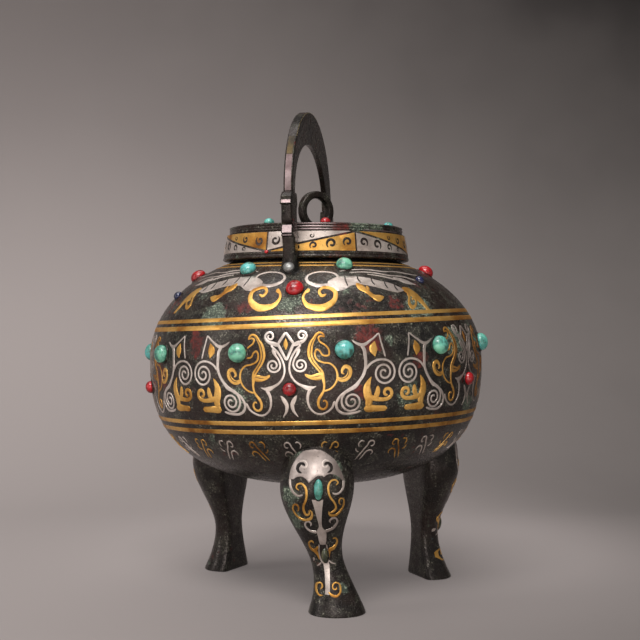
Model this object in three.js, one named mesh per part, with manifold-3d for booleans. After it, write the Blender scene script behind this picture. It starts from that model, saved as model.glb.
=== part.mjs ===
// Lidded tripod vessel with a fixed crescent handle, studded with stone beads.
// Millimetres, +Z up. Everything is made about the vessel's axis, and at the end the whole
// group moves so that the origin is in the middle of its box, on the ground.
// Azimuth 0 is the front of the vessel (-Y) and grows towards +X.
import * as THREE from 'three';
import { mergeVertices } from 'three/addons/utils/BufferGeometryUtils.js';
import Module from 'manifold-3d';

// Belly: two superellipse quarters of revolution that meet at the widest level
const BELLY_RADIUS = 74.9;
const BELLY_LEVEL = 102.1;
const DOME_RISE = 49.9;
const DOME_POWER = 2.13;
const BOWL_DROP = 55;
const BOWL_POWER = 2.6;
const BASE_CUT = 0.5;
const WALL = 3.2;
const BELLY_STEPS = 8;
const LINING_STEPS = 5;
const ROUND_STEPS = 60;
const STONE_STEPS = 12;

// Collar and lid
const COLLAR_RADIUS = 36.8;
const COLLAR_LIP = 0.8;
const LID_LIFT = 2;
const LID_BAND_HEIGHT = 11.6;
const LID_TAPER = 1.9;
const LID_WALL = 2.6;
const LID_STEP_INSET = 1.5;
const LID_STEP_HEIGHT = 3.6;
const LID_PLATE = 3.4;
const LID_CROWN = 0.5;
const LID_TURQUOISE_INSET = 5.9;
const LID_CORAL_INSET = 8.9;

// Ring knob standing on the lid
const KNOB_RADIUS = 9.4;
const KNOB_BAR = 3.9;
const KNOB_THICKNESS = 4;
const KNOB_SINK = 1.4;
const KNOB_SLOT_DEPTH = 1.3;
const KNOB_TURN = 35;
const KNOB_FOOT_WIDTH = 8;
const KNOB_BEVEL = 0.9;

// Handle: a crescent bail in one upright plane, on two posts cast to the shoulder
const HANDLE_TURN = -9.4;
const HANDLE_LEAN = 1;
const HANDLE_SHIFT = 2.8;
const POST_HEIGHT = 34.1;
const BAIL_BAR = 9.2;
const BAIL_OUTER_RISE = 40.4;
const BAIL_CROWN_DEPTH = 14.6;
const BAIL_OUTER_EDGE = 3.9;
const BAIL_INNER_EDGE = 2.5;
const POST_THICKNESS = 4;
const POST_LEDGE = 5;
const POST_NOSE = 3.7;
const STEM_THICKNESS = 5.4;
const FOOT_SPREAD = 5;
const RIVET_RADIUS = 2.5;
const RIVET_HEIGHT = 1.9;
const RIVET_OFFSET = 3.9;

// Legs: cabriole legs with a rounded outer face, a flat inner face and a hoof
const LEG_TOP = 74;
const KNEE_LEVEL = 52;
const KNEE_WIDTH = 30.4;
const KNEE_DEPTH = 21.5;
const KNEE_INSET = 5.7;
const TOP_TUCK = 4;
const ANKLE_LEVEL = 20.5;
const ANKLE_WIDTH = 13.6;
const ANKLE_DEPTH = 10.4;
const ANKLE_TUCK = 9.6;
const HOOF_WIDTH = 24.2;
const HOOF_DEPTH = 16.5;
const HOOF_TUCK = 3.2;
const LEG_TOP_SHARE = 0.66;
const LEG_FLAT = 0.8;
const LEG_BOW = 0.62;
const LEGS = [
  { name: 'front_leg', azimuth: 1, foot: 8, turn: 2 },
  { name: 'right_leg', azimuth: 108, foot: 0, turn: 5 },
  { name: 'left_leg', azimuth: -125, foot: -3.6, turn: 7 },
];

// Stones
const STONE_ROOT = 0.72;
const STONE_DEPTH = 1.3;
const STONE_LIFT = 0.2;
const BEAD_HEAD = 0.95;
const CABOCHON_HEAD = 0.8;
const TURQUOISE_RADIUS = 4.2;
const CORAL_RADIUS = 3.3;
const SHOULDER_RADIUS = 3.9;
const LAPIS_RADIUS = 2.2;
const LID_STONE_RADIUS = 2.4;
const ORNAMENT_TILT = 2;
const TURQUOISE_RISE = 5.7;
const CORAL_DROP = 9.1;
const UNITS = [-76.5, -7.8, 59.4, 133, 208.2];
const UNIT_HALF_WIDTH = 16.6;
const LOW_CORAL_BEYOND = 9.5;
const SIDE_CORALS = [
  { hand: 'left', azimuth: -88, beyond: 10.7 },
  { hand: 'right', azimuth: 88, beyond: 7.2 },
];
const SHOULDER_PAIR = [
  { hand: 'left', azimuth: -25, beyond: 7.7 },
  { hand: 'right', azimuth: 24.2, beyond: 4.3 },
];
const LAPIS_PLACES = [
  { azimuth: 51.5, beyond: 14.1 },
  { azimuth: 140, beyond: 17.7 },
  { azimuth: -135, beyond: 18.7 },
  { azimuth: -71, beyond: 21.3 },
];
const LEG_STONES = [
  { stone: 'eye', finish: 'turquoise', level: 52.3, offset: 0, radius: 2, stretch: 2.2 },
  { stone: 'shin', finish: 'olive', level: 24.2, offset: -1.7, radius: 1.5, stretch: 2.3 },
];

// Clearances
const GAP = 0.3;
const LID_GAP = 0.35;
const LID_FIT = 1;
const LID_CLEARANCE = 0.9;
const BAIL_CLEARANCE = 0.5;

const COLOURS = {
  bronze: { color: 0x2e2b27, roughness: 0.5, metalness: 0.85 },
  turquoise: { color: 0x5fb3a3, roughness: 0.35, metalness: 0 },
  coral: { color: 0xb01c22, roughness: 0.3, metalness: 0 },
  lapis: { color: 0x1d2c5c, roughness: 0.35, metalness: 0 },
  olive: { color: 0x4a4a30, roughness: 0.4, metalness: 0 },
};

const wasm = await Module();
wasm.setup();
const vessel = new THREE.Group();
const rad = THREE.MathUtils.degToRad;

// Closed shell of a geometry, with shared corners and faces pointing out
function solid(geometry) {
  const bare = geometry.index ? geometry.toNonIndexed() : geometry.clone();
  bare.deleteAttribute('normal');
  bare.deleteAttribute('uv');
  const merged = mergeVertices(bare, 1e-4);
  const source = merged.index.array;
  const corners = [];
  for (let i = 0; i < source.length; i += 3) {
    const [a, b, c] = [source[i], source[i + 1], source[i + 2]];
    if (a !== b && b !== c && c !== a) corners.push(a, b, c);
  }
  const vertProperties = new Float32Array(merged.attributes.position.array);
  let shell = manifoldOf(vertProperties, corners);
  if (shell.volume() < 0) shell = manifoldOf(vertProperties, corners.reverse());
  return shell;
}

function manifoldOf(vertProperties, corners) {
  const triVerts = new Uint32Array(corners);
  return new wasm.Manifold(new wasm.Mesh({ numProp: 3, vertProperties, triVerts }));
}

function addPiece(name, shell, finish) {
  const mesh = shell.getMesh();
  const geometry = new THREE.BufferGeometry();
  geometry.setAttribute('position', new THREE.BufferAttribute(mesh.vertProperties, 3));
  geometry.setIndex(new THREE.BufferAttribute(mesh.triVerts, 1));
  geometry.computeVertexNormals();
  const piece = new THREE.Mesh(geometry, new THREE.MeshStandardMaterial(COLOURS[finish]));
  piece.name = name;
  vessel.add(piece);
}

// A body of revolution about Z from [radius, height] points
function turned(profile, steps = ROUND_STEPS) {
  const points = profile.map(([radius, height]) => new THREE.Vector2(radius, height));
  const geometry = new THREE.LatheGeometry(points, steps);
  geometry.rotateX(Math.PI / 2);
  return solid(geometry);
}

// Skin over a row of closed sections with equal point counts, closed by end caps
function loft(sections) {
  const count = sections[0].length;
  const positions = [];
  const face = (...points) => points.forEach((p) => positions.push(p.x, p.y, p.z));
  for (let s = 0; s + 1 < sections.length; s += 1) {
    for (let i = 0; i < count; i += 1) {
      const j = (i + 1) % count;
      face(sections[s][i], sections[s][j], sections[s + 1][j]);
      face(sections[s][i], sections[s + 1][j], sections[s + 1][i]);
    }
  }
  for (const [section, reversed] of [[sections[0], true], [sections.at(-1), false]]) {
    for (let i = 1; i + 1 < count; i += 1) {
      if (reversed) face(section[0], section[i + 1], section[i]);
      else face(section[0], section[i], section[i + 1]);
    }
  }
  const geometry = new THREE.BufferGeometry();
  geometry.setAttribute('position', new THREE.Float32BufferAttribute(positions, 3));
  return solid(geometry);
}

// Radius of the belly's outer face at a height, grown by an offset
function bellyRadius(height, offset = 0) {
  const rise = height - BELLY_LEVEL;
  const reach = (rise > 0 ? DOME_RISE : BOWL_DROP) + offset;
  const power = rise > 0 ? DOME_POWER : BOWL_POWER;
  const share = 1 - Math.min(1, Math.abs(rise) / reach) ** power;
  return (BELLY_RADIUS + offset) * share ** (1 / power);
}

// Height of the dome above a radius
function domeHeight(radius, offset = 0) {
  const share = 1 - (radius / (BELLY_RADIUS + offset)) ** DOME_POWER;
  return BELLY_LEVEL + (DOME_RISE + offset) * share ** (1 / DOME_POWER);
}

// Points of the belly's meridian from the base to where the dome reaches a radius
function bellyMeridian(offset, base, topRadius, steps = BELLY_STEPS) {
  const points = [[bellyRadius(base, offset), base]];
  const start = Math.asin((BELLY_LEVEL - base) / (BOWL_DROP + offset));
  for (let i = 1; i < steps; i += 1) {
    const level = BELLY_LEVEL - (BOWL_DROP + offset) * Math.sin(start * (1 - i / steps));
    points.push([bellyRadius(level, offset), level]);
  }
  const top = domeHeight(topRadius, offset);
  const end = Math.asin((top - BELLY_LEVEL) / (DOME_RISE + offset));
  for (let i = 0; i < steps; i += 1) {
    const level = BELLY_LEVEL + (DOME_RISE + offset) * Math.sin(end * (i / steps));
    points.push([bellyRadius(level, offset), level]);
  }
  points.push([topRadius, top]);
  return points;
}

// Sizes that follow from the collar: the lid over it, and the bail over the lid
const lidRadius = COLLAR_RADIUS + LID_FIT + LID_WALL + LID_TAPER;
const lidStepRadius = lidRadius - LID_TAPER - LID_STEP_INSET;
const bailHalfSpan = lidRadius + BAIL_CLEARANCE + BAIL_BAR;

// Levels shared by the collar, the lid, the handle and what stands on them
const lidBottom = domeHeight(lidRadius) + LID_LIFT;
const bandTop = lidBottom + LID_BAND_HEIGHT;
const stepTop = bandTop + LID_STEP_HEIGHT;
const lidCeiling = stepTop - LID_PLATE;
const collarTop = lidCeiling - LID_GAP;
const lidTop = (radius) => stepTop + LID_CROWN * (1 - (radius / lidStepRadius) ** 2);
const baseLevel = BELLY_LEVEL - BOWL_DROP + BASE_CUT;
const shoulderLevel = domeHeight(bailHalfSpan);
const bailSpring = shoulderLevel + POST_HEIGHT;

// Frame of a place on the outer face: local Z is the outward normal, local Y runs up
function placeOn(point, normal) {
  const across = new THREE.Vector3(0, 0, 1).cross(normal);
  if (across.lengthSq() < 1e-6) across.set(1, 0, 0);
  across.normalize();
  const up = normal.clone().cross(across);
  return new THREE.Matrix4().makeBasis(across, up, normal).setPosition(point);
}

function onBelly(azimuth, level) {
  const slope = (bellyRadius(level + 0.5) - bellyRadius(level - 0.5));
  const out = new THREE.Vector3(Math.sin(rad(azimuth)), -Math.cos(rad(azimuth)), 0);
  const point = out.clone().multiplyScalar(bellyRadius(level)).setZ(level);
  return placeOn(point, out.clone().setZ(-slope).normalize());
}

const onShoulder = (azimuth, radius) => onBelly(azimuth, domeHeight(radius));
const tilted = (level, azimuth) =>
  level + BELLY_RADIUS * Math.tan(rad(ORNAMENT_TILT)) * Math.sin(rad(azimuth));

// Stone with a domed head and a narrower root, and the socket drilled for the root
function stoneProfile(radius, height, lift) {
  const arc = [];
  for (let i = 0; i < 3; i += 1) {
    const angle = (i / 3) * (Math.PI / 2);
    arc.push([radius * Math.cos(angle), lift + height * Math.sin(angle)]);
  }
  arc.push([0, lift + height]);
  const root = radius * STONE_ROOT;
  const foot = GAP - STONE_DEPTH;
  return [[0, foot], [root, foot], [root, lift], ...arc];
}

const sockets = new Map();

function setStone(name, finish, carrier, place, radius, height, stretch = 1) {
  const across = new THREE.Matrix4().makeScale(1, stretch, 1);
  const frame = place.clone().multiply(across).toArray();
  // A long stone stands higher, because the face under it curves up at its ends
  const profile = stoneProfile(radius, height, STONE_LIFT * stretch);
  addPiece(name, turned(profile, STONE_STEPS).transform(frame), finish);
  const bore = radius * STONE_ROOT + GAP;
  const drill = [[0, -STONE_DEPTH], [bore, -STONE_DEPTH], [bore, height], [0, height]];
  const cutter = turned(drill, STONE_STEPS - 2).transform(frame);
  sockets.set(carrier, [...(sockets.get(carrier) ?? []), cutter]);
}

const drilled = (shell, carrier) =>
  (sockets.get(carrier) ?? []).reduce((rest, cutter) => rest.subtract(cutter), shell);

// Belly stones: units of two turquoise beads with a coral bead low between them
UNITS.forEach((azimuth, unit) => {
  const corner = ['left', 'right'];
  corner.forEach((side, k) => {
    const place = azimuth + UNIT_HALF_WIDTH * (2 * k - 1);
    const level = tilted(BELLY_LEVEL + TURQUOISE_RISE, place);
    const seat = onBelly(place, level);
    const name = `belly_turquoise_${unit + 1}_${side}`;
    setStone(name, 'turquoise', 'vessel', seat, TURQUOISE_RADIUS, TURQUOISE_RADIUS * BEAD_HEAD);
  });
  const seat = onBelly(azimuth, tilted(BELLY_LEVEL - CORAL_DROP, azimuth));
  setStone(`belly_coral_${unit + 1}`, 'coral', 'vessel', seat, CORAL_RADIUS, CORAL_RADIUS);
});

// Shoulder stones, each at a distance beyond the lid's rim or the post's outer face:
// the same pattern before and behind the handle's plane
const shoulderHead = SHOULDER_RADIUS * BEAD_HEAD;
for (const [side, turn] of [['front', 0], ['back', 180]]) {
  for (const { hand, azimuth, beyond } of SHOULDER_PAIR) {
    const seat = onShoulder(HANDLE_TURN + azimuth + turn, lidRadius + beyond);
    const name = `shoulder_turquoise_${side}_${hand}`;
    setStone(name, 'turquoise', 'vessel', seat, SHOULDER_RADIUS, shoulderHead);
  }
  const low = onShoulder(UNITS[1] + turn, bailHalfSpan + LOW_CORAL_BEYOND);
  setStone(`shoulder_coral_${side}`, 'coral', 'vessel', low, SHOULDER_RADIUS, shoulderHead);
}
for (const { hand, azimuth, beyond } of SIDE_CORALS) {
  const seat = onShoulder(azimuth, lidRadius + beyond);
  setStone(`shoulder_coral_${hand}`, 'coral', 'vessel', seat, SHOULDER_RADIUS, shoulderHead);
}
LAPIS_PLACES.forEach(({ azimuth, beyond }, i) => {
  const seat = onShoulder(azimuth, lidRadius + beyond);
  setStone(`shoulder_lapis_${i + 1}`, 'lapis', 'vessel', seat, LAPIS_RADIUS, LAPIS_RADIUS);
});

// Vessel: one cast shell with a low collar, open at the mouth
function vesselBody() {
  const outer = bellyMeridian(0, baseLevel, COLLAR_RADIUS);
  const mouth = COLLAR_RADIUS - WALL;
  const inner = bellyMeridian(-WALL, baseLevel + WALL, mouth, LINING_STEPS).reverse();
  const collar = [
    [COLLAR_RADIUS, collarTop - COLLAR_LIP],
    [COLLAR_RADIUS - COLLAR_LIP, collarTop],
    [mouth + COLLAR_LIP, collarTop],
    [mouth, collarTop - COLLAR_LIP],
  ];
  return turned([[0, baseLevel], ...outer, ...collar, ...inner, [0, baseLevel + WALL]]);
}
addPiece('vessel_body', drilled(vesselBody(), 'vessel'), 'bronze');

// The belly's full outer form plus a gap, to seat whatever stands on it
const bellySeat = turned([
  [0, baseLevel - GAP],
  ...bellyMeridian(GAP * 1.4, baseLevel - GAP, COLLAR_RADIUS * 0.6),
  [0, domeHeight(COLLAR_RADIUS * 0.6, GAP)],
]);

// Legs: width, depth and reach run smoothly between hoof, ankle, knee and top
const ease = (t) => t * t * (3 - 2 * t);
const kneeReach = BELLY_RADIUS - KNEE_INSET;
function alongLeg(hoof, ankle, knee, top, level) {
  if (level <= ANKLE_LEVEL) return THREE.MathUtils.lerp(ankle, hoof, (1 - level / ANKLE_LEVEL) ** 1.7);
  if (level <= KNEE_LEVEL) {
    const t = (level - ANKLE_LEVEL) / (KNEE_LEVEL - ANKLE_LEVEL);
    return THREE.MathUtils.lerp(ankle, knee, ease(t));
  }
  return THREE.MathUtils.lerp(knee, top, ((level - KNEE_LEVEL) / (LEG_TOP - KNEE_LEVEL)) ** 1.8);
}
const legReach = (z) =>
  alongLeg(kneeReach - HOOF_TUCK, kneeReach - ANKLE_TUCK, kneeReach, kneeReach - TOP_TUCK, z);
const legWidth = (z) => alongLeg(HOOF_WIDTH, ANKLE_WIDTH, KNEE_WIDTH, KNEE_WIDTH * LEG_TOP_SHARE, z);
const legDepth = (z) => alongLeg(HOOF_DEPTH, ANKLE_DEPTH, KNEE_DEPTH, KNEE_DEPTH, z);
const legShift = (z, foot) => foot * (1 - ease(Math.min(1, z / KNEE_LEVEL)));

// One D-shaped section: the bowed outer face, then the flat inner face
function legSection(level, leg) {
  const half = legWidth(level) / 2;
  const depth = legDepth(level);
  const bow = depth * LEG_BOW;
  const centre = legReach(level) - bow;
  const outline = [];
  for (let i = 0; i <= 8; i += 1) {
    const angle = (i / 8 - 0.5) * Math.PI;
    outline.push([centre + bow * Math.cos(angle), half * Math.sin(angle)]);
  }
  const back = centre + bow - depth;
  outline.push([back, half * LEG_FLAT], [back, -half * LEG_FLAT]);
  const pivot = legReach(level) - depth / 2;
  return outline.map(([out, across]) => {
    const spot = new THREE.Vector2(out, across);
    spot.rotateAround(new THREE.Vector2(pivot, 0), rad(leg.turn));
    return new THREE.Vector3(spot.y + legShift(level, leg.foot), -spot.x, level);
  });
}

// Frame of a place on the outer face, an offset away from the leg's middle
function onLegFace(level, offset, leg) {
  const lean = offset / (legWidth(level) / 2);
  const bow = legDepth(level) * LEG_BOW;
  const out = legReach(level) - bow * (1 - Math.sqrt(1 - lean ** 2));
  const slope = legReach(level + 0.5) - legReach(level - 0.5);
  const point = new THREE.Vector3(legShift(level, leg.foot) + offset, -out, level);
  const normal = new THREE.Vector3(lean * bow / (legWidth(level) / 2), -1, -slope);
  return placeOn(point, normal.normalize());
}

const legLevels = [0, 1.2, 5, 10, 15, ANKLE_LEVEL, 27, 33, 39, 45, KNEE_LEVEL, 59, 66, LEG_TOP];
for (const leg of LEGS) {
  const turn = new THREE.Matrix4().makeRotationZ(rad(leg.azimuth));
  for (const { stone, finish, level, offset, radius, stretch } of LEG_STONES) {
    const seat = turn.clone().multiply(onLegFace(level, offset, leg));
    const name = `${leg.name}_${stone}_stone`;
    setStone(name, finish, leg.name, seat, radius, radius * CABOCHON_HEAD, stretch);
  }
  const shell = loft(legLevels.map((level) => legSection(level, leg)));
  const cast = shell.transform(turn.toArray()).subtract(bellySeat);
  addPiece(leg.name, drilled(cast, leg.name), 'bronze');
}

// Handle frame: turned about the axis, shifted and leaning across its own plane.
// In it X runs out along the handle's plane, Y across it and Z up.
function handleFrame(back) {
  const side = back ? -1 : 1;
  const turn = new THREE.Matrix4().makeRotationZ(rad(HANDLE_TURN - side * 90));
  const lean = new THREE.Matrix4().makeRotationX(rad(side * HANDLE_LEAN));
  const lift = new THREE.Matrix4().makeTranslation(0, -side * HANDLE_SHIFT, shoulderLevel);
  const drop = new THREE.Matrix4().makeTranslation(0, 0, -shoulderLevel);
  return turn.multiply(lift).multiply(lean).multiply(drop).toArray();
}

// Bail: a crescent between two half ellipses, thick at its back and thin at its mouth
function bail() {
  const steps = 26;
  const sections = [];
  const innerSpan = bailHalfSpan - BAIL_BAR;
  const innerRise = BAIL_OUTER_RISE - BAIL_CROWN_DEPTH;
  for (let i = 0; i <= steps; i += 1) {
    const angle = (i / steps) * Math.PI;
    const [c, s] = [Math.cos(angle), Math.sin(angle)];
    const outer = new THREE.Vector2(bailHalfSpan * c, bailSpring + BAIL_OUTER_RISE * s);
    const inner = new THREE.Vector2(innerSpan * c, bailSpring + innerRise * s);
    const at = (share, across) => {
      const spot = outer.clone().lerp(inner, share);
      return new THREE.Vector3(spot.x, across, spot.y);
    };
    const [back, mouth] = [BAIL_OUTER_EDGE / 2, BAIL_INNER_EDGE / 2];
    sections.push([
      at(0, -back * 0.7), at(0.06, -back), at(0.95, -mouth), at(1, -mouth * 0.6),
      at(1, mouth * 0.6), at(0.95, mouth), at(0.06, back), at(0, back * 0.7),
    ]);
  }
  return loft(sections);
}
addPiece('handle_bail', bail().transform(handleFrame(false)), 'bronze');

// One section of a post, with bevelled corners and slightly swollen sides
function postSection(level, far, near, thickness) {
  const half = thickness / 2;
  const edge = half * 0.35;
  const mid = (far + near) / 2;
  return [
    [far, edge - half], [far - edge, -half], [mid, -half - 0.15], [near + edge, -half],
    [near, edge - half], [near, half - edge], [near + edge, half], [mid, half + 0.15],
    [far - edge, half], [far, half - edge],
  ].map(([out, across]) => new THREE.Vector3(out, across, level));
}

// Post: sections from the foot up to where the bail stands on it
function post() {
  const outer = bailHalfSpan;
  const inner = lidRadius + LID_CLEARANCE;
  const foot = shoulderLevel;
  const top = bailSpring - GAP;
  const stem = STEM_THICKNESS;
  const plate = POST_THICKNESS;
  const sections = [];
  const section = (...measures) => sections.push(postSection(...measures));
  // Flared foot on the shoulder, then the stem
  section(foot - 3.5, outer + 5.5, inner - 1, stem + FOOT_SPREAD);
  section(foot + 3.5, outer + 4.2, inner - 0.3, stem + FOOT_SPREAD * 0.62);
  section(foot + 5.5, outer + 1.4, inner, stem + 1.6);
  section(foot + 8.5, outer - 0.6, inner, stem);
  section(top - 19.6, outer - 0.4, inner, stem - 0.4);
  // Narrow collar
  section(top - 18.9, outer + 2, inner, plate + 0.2);
  section(top - 17.6, outer + 2, inner, plate + 0.2);
  section(top - 17.2, outer + 1.4, inner, plate);
  // Nose, waisted in the middle
  section(top - 14.2, outer + POST_NOSE, inner, plate);
  section(top - 8.6, outer + POST_NOSE - 0.5, inner, plate);
  section(top - 5.6, outer + POST_NOSE, inner, plate);
  // Ledge and the neck under the bail
  section(top - 5.1, outer + POST_LEDGE + 0.3, inner, plate + 0.3);
  section(top - 2.4, outer + POST_LEDGE, inner, plate + 0.3);
  section(top - 0.4, outer + 2.2, inner, plate);
  section(top, outer + 1.4, inner, plate - 0.4);
  return loft(sections);
}
for (const [side, back] of [['front', false], ['back', true]]) {
  const frame = new THREE.Matrix4().fromArray(handleFrame(back));
  const seatAt = new THREE.Vector3(bailHalfSpan + RIVET_OFFSET, 0, shoulderLevel + 2.7);
  seatAt.applyMatrix4(frame);
  const out = new THREE.Vector3(1, 0, 0.62).transformDirection(frame);
  const rivet = placeOn(seatAt, out);
  const head = [[0, -1], [RIVET_RADIUS * 0.7, -1], [RIVET_RADIUS, 0.3]];
  for (let i = 1; i <= 3; i += 1) {
    const angle = (i / 3) * (Math.PI / 2);
    head.push([i === 3 ? 0 : RIVET_RADIUS * Math.cos(angle), 0.3 + RIVET_HEIGHT * Math.sin(angle)]);
  }
  const bore = RIVET_RADIUS + GAP;
  const cutter = turned([[0, -1 - GAP], [bore, -1 - GAP], [bore, 9], [0, 9]], 12);
  const seated = turned(head, 12).transform(rivet.toArray()).subtract(bellySeat);
  addPiece(`post_rivet_${side}`, seated, 'bronze');
  const cast = post().transform(frame.toArray()).subtract(bellySeat);
  addPiece(`handle_post_${side}`, cast.subtract(cutter.transform(rivet.toArray())), 'bronze');
}

// Lid: a cap over the collar, with a tapering inlay band and a stepped rim
function lidCap() {
  const taper = (level) => lidRadius - LID_TAPER * (level / LID_BAND_HEIGHT);
  const outer = [
    [lidRadius - LID_WALL, lidBottom],
    [lidRadius - 0.9, lidBottom],
    [lidRadius, lidBottom + 0.9],
    [taper(LID_BAND_HEIGHT - 0.5), bandTop - 0.5],
    [taper(LID_BAND_HEIGHT) - 0.5, bandTop],
    [lidStepRadius - 0.5, bandTop + 0.3],
    [lidStepRadius + 0.5, bandTop + 0.7],
    [lidStepRadius + 0.5, bandTop + 1.7],
    [lidStepRadius - 0.3, bandTop + 2],
    [lidStepRadius, bandTop + 2.4],
    [lidStepRadius, stepTop - 0.5],
    [lidStepRadius - 0.5, stepTop],
    [lidStepRadius * 0.5, lidTop(lidStepRadius * 0.5)],
    [0, lidTop(0)],
  ];
  const inside = taper(lidCeiling - lidBottom) - LID_WALL;
  return turned([[0, lidCeiling], [inside, lidCeiling], ...outer]);
}
for (let i = 0; i < 3; i += 1) {
  for (const [stone, finish, azimuth, reach] of [
    ['turquoise', 'turquoise', -38 + 120 * i, lidStepRadius - LID_TURQUOISE_INSET],
    ['coral', 'coral', 8 + 120 * i, lidStepRadius - LID_CORAL_INSET],
  ]) {
    const angle = rad(azimuth);
    const point = new THREE.Vector3(reach * Math.sin(angle), -reach * Math.cos(angle), lidTop(reach));
    const seat = placeOn(point, new THREE.Vector3(0, 0, 1));
    setStone(`lid_${stone}_${i + 1}`, finish, 'lid', seat, LID_STONE_RADIUS, LID_STONE_RADIUS);
  }
}

// Ring knob: a bevelled ring on a small foot, sunk into a slot in the lid's top
const knobCentre = stepTop + LID_CROWN + KNOB_RADIUS - KNOB_SINK;
function ringKnob() {
  const half = KNOB_THICKNESS / 2;
  const hole = KNOB_RADIUS - KNOB_BAR;
  const ring = turned([
    [hole + KNOB_BEVEL, -half], [KNOB_RADIUS - KNOB_BEVEL, -half],
    [KNOB_RADIUS, KNOB_BEVEL - half], [KNOB_RADIUS, half - KNOB_BEVEL],
    [KNOB_RADIUS - KNOB_BEVEL, half], [hole + KNOB_BEVEL, half],
    [hole, half - KNOB_BEVEL], [hole, KNOB_BEVEL - half], [hole + KNOB_BEVEL, -half],
  ], 28);
  const floor = stepTop + LID_CROWN - KNOB_SLOT_DEPTH + GAP;
  const footHeight = knobCentre - hole - floor;
  const foot = new THREE.BoxGeometry(KNOB_FOOT_WIDTH, KNOB_THICKNESS, footHeight);
  foot.translate(0, 0, floor + footHeight / 2);
  const upright = new THREE.Matrix4().makeRotationX(Math.PI / 2).setPosition(0, 0, knobCentre);
  const low = new THREE.BoxGeometry(KNOB_RADIUS * 2, KNOB_THICKNESS * 2, 10);
  low.translate(0, 0, floor - 5);
  return ring.transform(upright.toArray()).add(solid(foot)).subtract(solid(low));
}
const knobTurn = new THREE.Matrix4().makeRotationZ(rad(KNOB_TURN));
const slotShape = new THREE.BoxGeometry(
  2 * Math.sqrt(KNOB_RADIUS ** 2 - (KNOB_RADIUS - KNOB_SINK) ** 2) + 2 * GAP + 1,
  KNOB_THICKNESS + 2 * GAP,
  2 * KNOB_SLOT_DEPTH,
);
slotShape.translate(0, 0, stepTop + LID_CROWN);
const slot = solid(slotShape).transform(knobTurn.toArray());
addPiece('lid', drilled(lidCap(), 'lid').subtract(slot), 'bronze');
addPiece('ring_knob', ringKnob().transform(knobTurn.toArray()), 'bronze');

// The origin goes to the middle of the whole part's box, on the ground
const middle = new THREE.Box3().setFromObject(vessel).getCenter(new THREE.Vector3());
vessel.position.set(-middle.x, -middle.y, 0);

export default vessel;
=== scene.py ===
import bpy
import numpy as np
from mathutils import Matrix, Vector


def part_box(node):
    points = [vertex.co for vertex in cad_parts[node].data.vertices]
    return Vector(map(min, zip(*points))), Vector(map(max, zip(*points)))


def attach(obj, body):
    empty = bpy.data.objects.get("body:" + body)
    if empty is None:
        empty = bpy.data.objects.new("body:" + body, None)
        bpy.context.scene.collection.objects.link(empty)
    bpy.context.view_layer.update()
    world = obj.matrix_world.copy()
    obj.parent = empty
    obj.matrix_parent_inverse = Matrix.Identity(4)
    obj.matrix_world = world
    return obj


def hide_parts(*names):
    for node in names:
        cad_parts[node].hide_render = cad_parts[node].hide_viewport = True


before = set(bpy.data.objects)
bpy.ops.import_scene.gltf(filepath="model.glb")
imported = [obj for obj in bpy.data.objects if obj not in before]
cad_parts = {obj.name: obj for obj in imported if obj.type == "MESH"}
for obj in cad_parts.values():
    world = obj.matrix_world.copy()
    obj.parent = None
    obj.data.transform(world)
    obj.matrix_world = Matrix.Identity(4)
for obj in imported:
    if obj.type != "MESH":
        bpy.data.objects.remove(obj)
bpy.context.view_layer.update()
print("frame loaded")

# All shapes are worked out in millimetres about the belly's axis. Azimuth 0 is the front
# of the vessel (-Y) and grows towards +X.
mm = 0.001
bodyLow, bodyHigh = (np.array(corner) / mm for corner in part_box("vessel_body"))
bellyAxis = np.append((bodyLow[:2] + bodyHigh[:2]) / 2, 0)


# Arrays as the columns of one array, each spread to the size of all
def stacked(*parts):
    return np.stack(np.broadcast_arrays(*parts), -1)


# Places at an angle, a distance from the axis and a height
def onRing(angle, radius, height):
    return stacked(radius * np.sin(angle), -radius * np.cos(angle), height)


# Adds a node, sets its properties and feeds its inputs
def put(tree, kind, inputs, **settings):
    node = tree.nodes.new("ShaderNode" + kind)
    for key, value in settings.items():
        setattr(node, key, value)
    feed(node.inputs, inputs)
    return node


# Each socket gets a wire or a plain value; a colour gets its fourth number here
def feed(sockets, values):
    for key, value in values.items():
        socket = sockets[key]
        if isinstance(value, Wire):
            socket.id_data.links.new(value.socket, socket)
        else:
            socket.default_value = (*value, 1.0) if socket.type == "RGBA" else value


# The output of a node. Sums, masks, mixes and noises made from it add their nodes to its tree.
class Wire:
    def __init__(self, socket):
        self.socket = socket

    def into(self, kind, inputs, output=0, first=0, **settings):
        return Wire(put(self.socket.id_data, kind, {first: self, **inputs}, **settings).outputs[output])

    def __add__(self, other):
        return self.into("Math", {1: other}, operation="ADD")

    def __sub__(self, other):
        return self.into("Math", {1: other}, operation="SUBTRACT")

    def __mul__(self, other):
        return self.into("Math", {1: other}, operation="MULTIPLY")

    def larger(self, other):
        return self.into("Math", {1: other}, operation="MAXIMUM")

    # The least value below the low end, the most value above the high end
    def mask(self, low, high, least=0.0, most=1.0, kind="SMOOTHSTEP"):
        return self.into("MapRange", {1: low, 2: high, 3: least, 4: most}, interpolation_type=kind)

    # Goes from the first colour to the second
    def mix(self, first, second):
        return self.into("Mix", {6: first, 7: second}, 2, data_type="RGBA")

    def awayFrom(self, point):
        return self.into("VectorMath", {1: point}, "Value", operation="DISTANCE")

    def noise(self, scale, detail=4, roughness=0.6, offset=(0, 0, 0), distortion=0.0):
        return self.into("Mapping", {"Location": offset}).into("TexNoise", {
            "Scale": scale, "Detail": detail, "Roughness": roughness, "Distortion": distortion})

    def bump(self, strength, depth):
        return self.into("Bump", {"Strength": strength, "Distance": depth * mm}, first="Height")


def wires(sockets):
    return {socket.name: Wire(socket) for socket in sockets}


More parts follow.
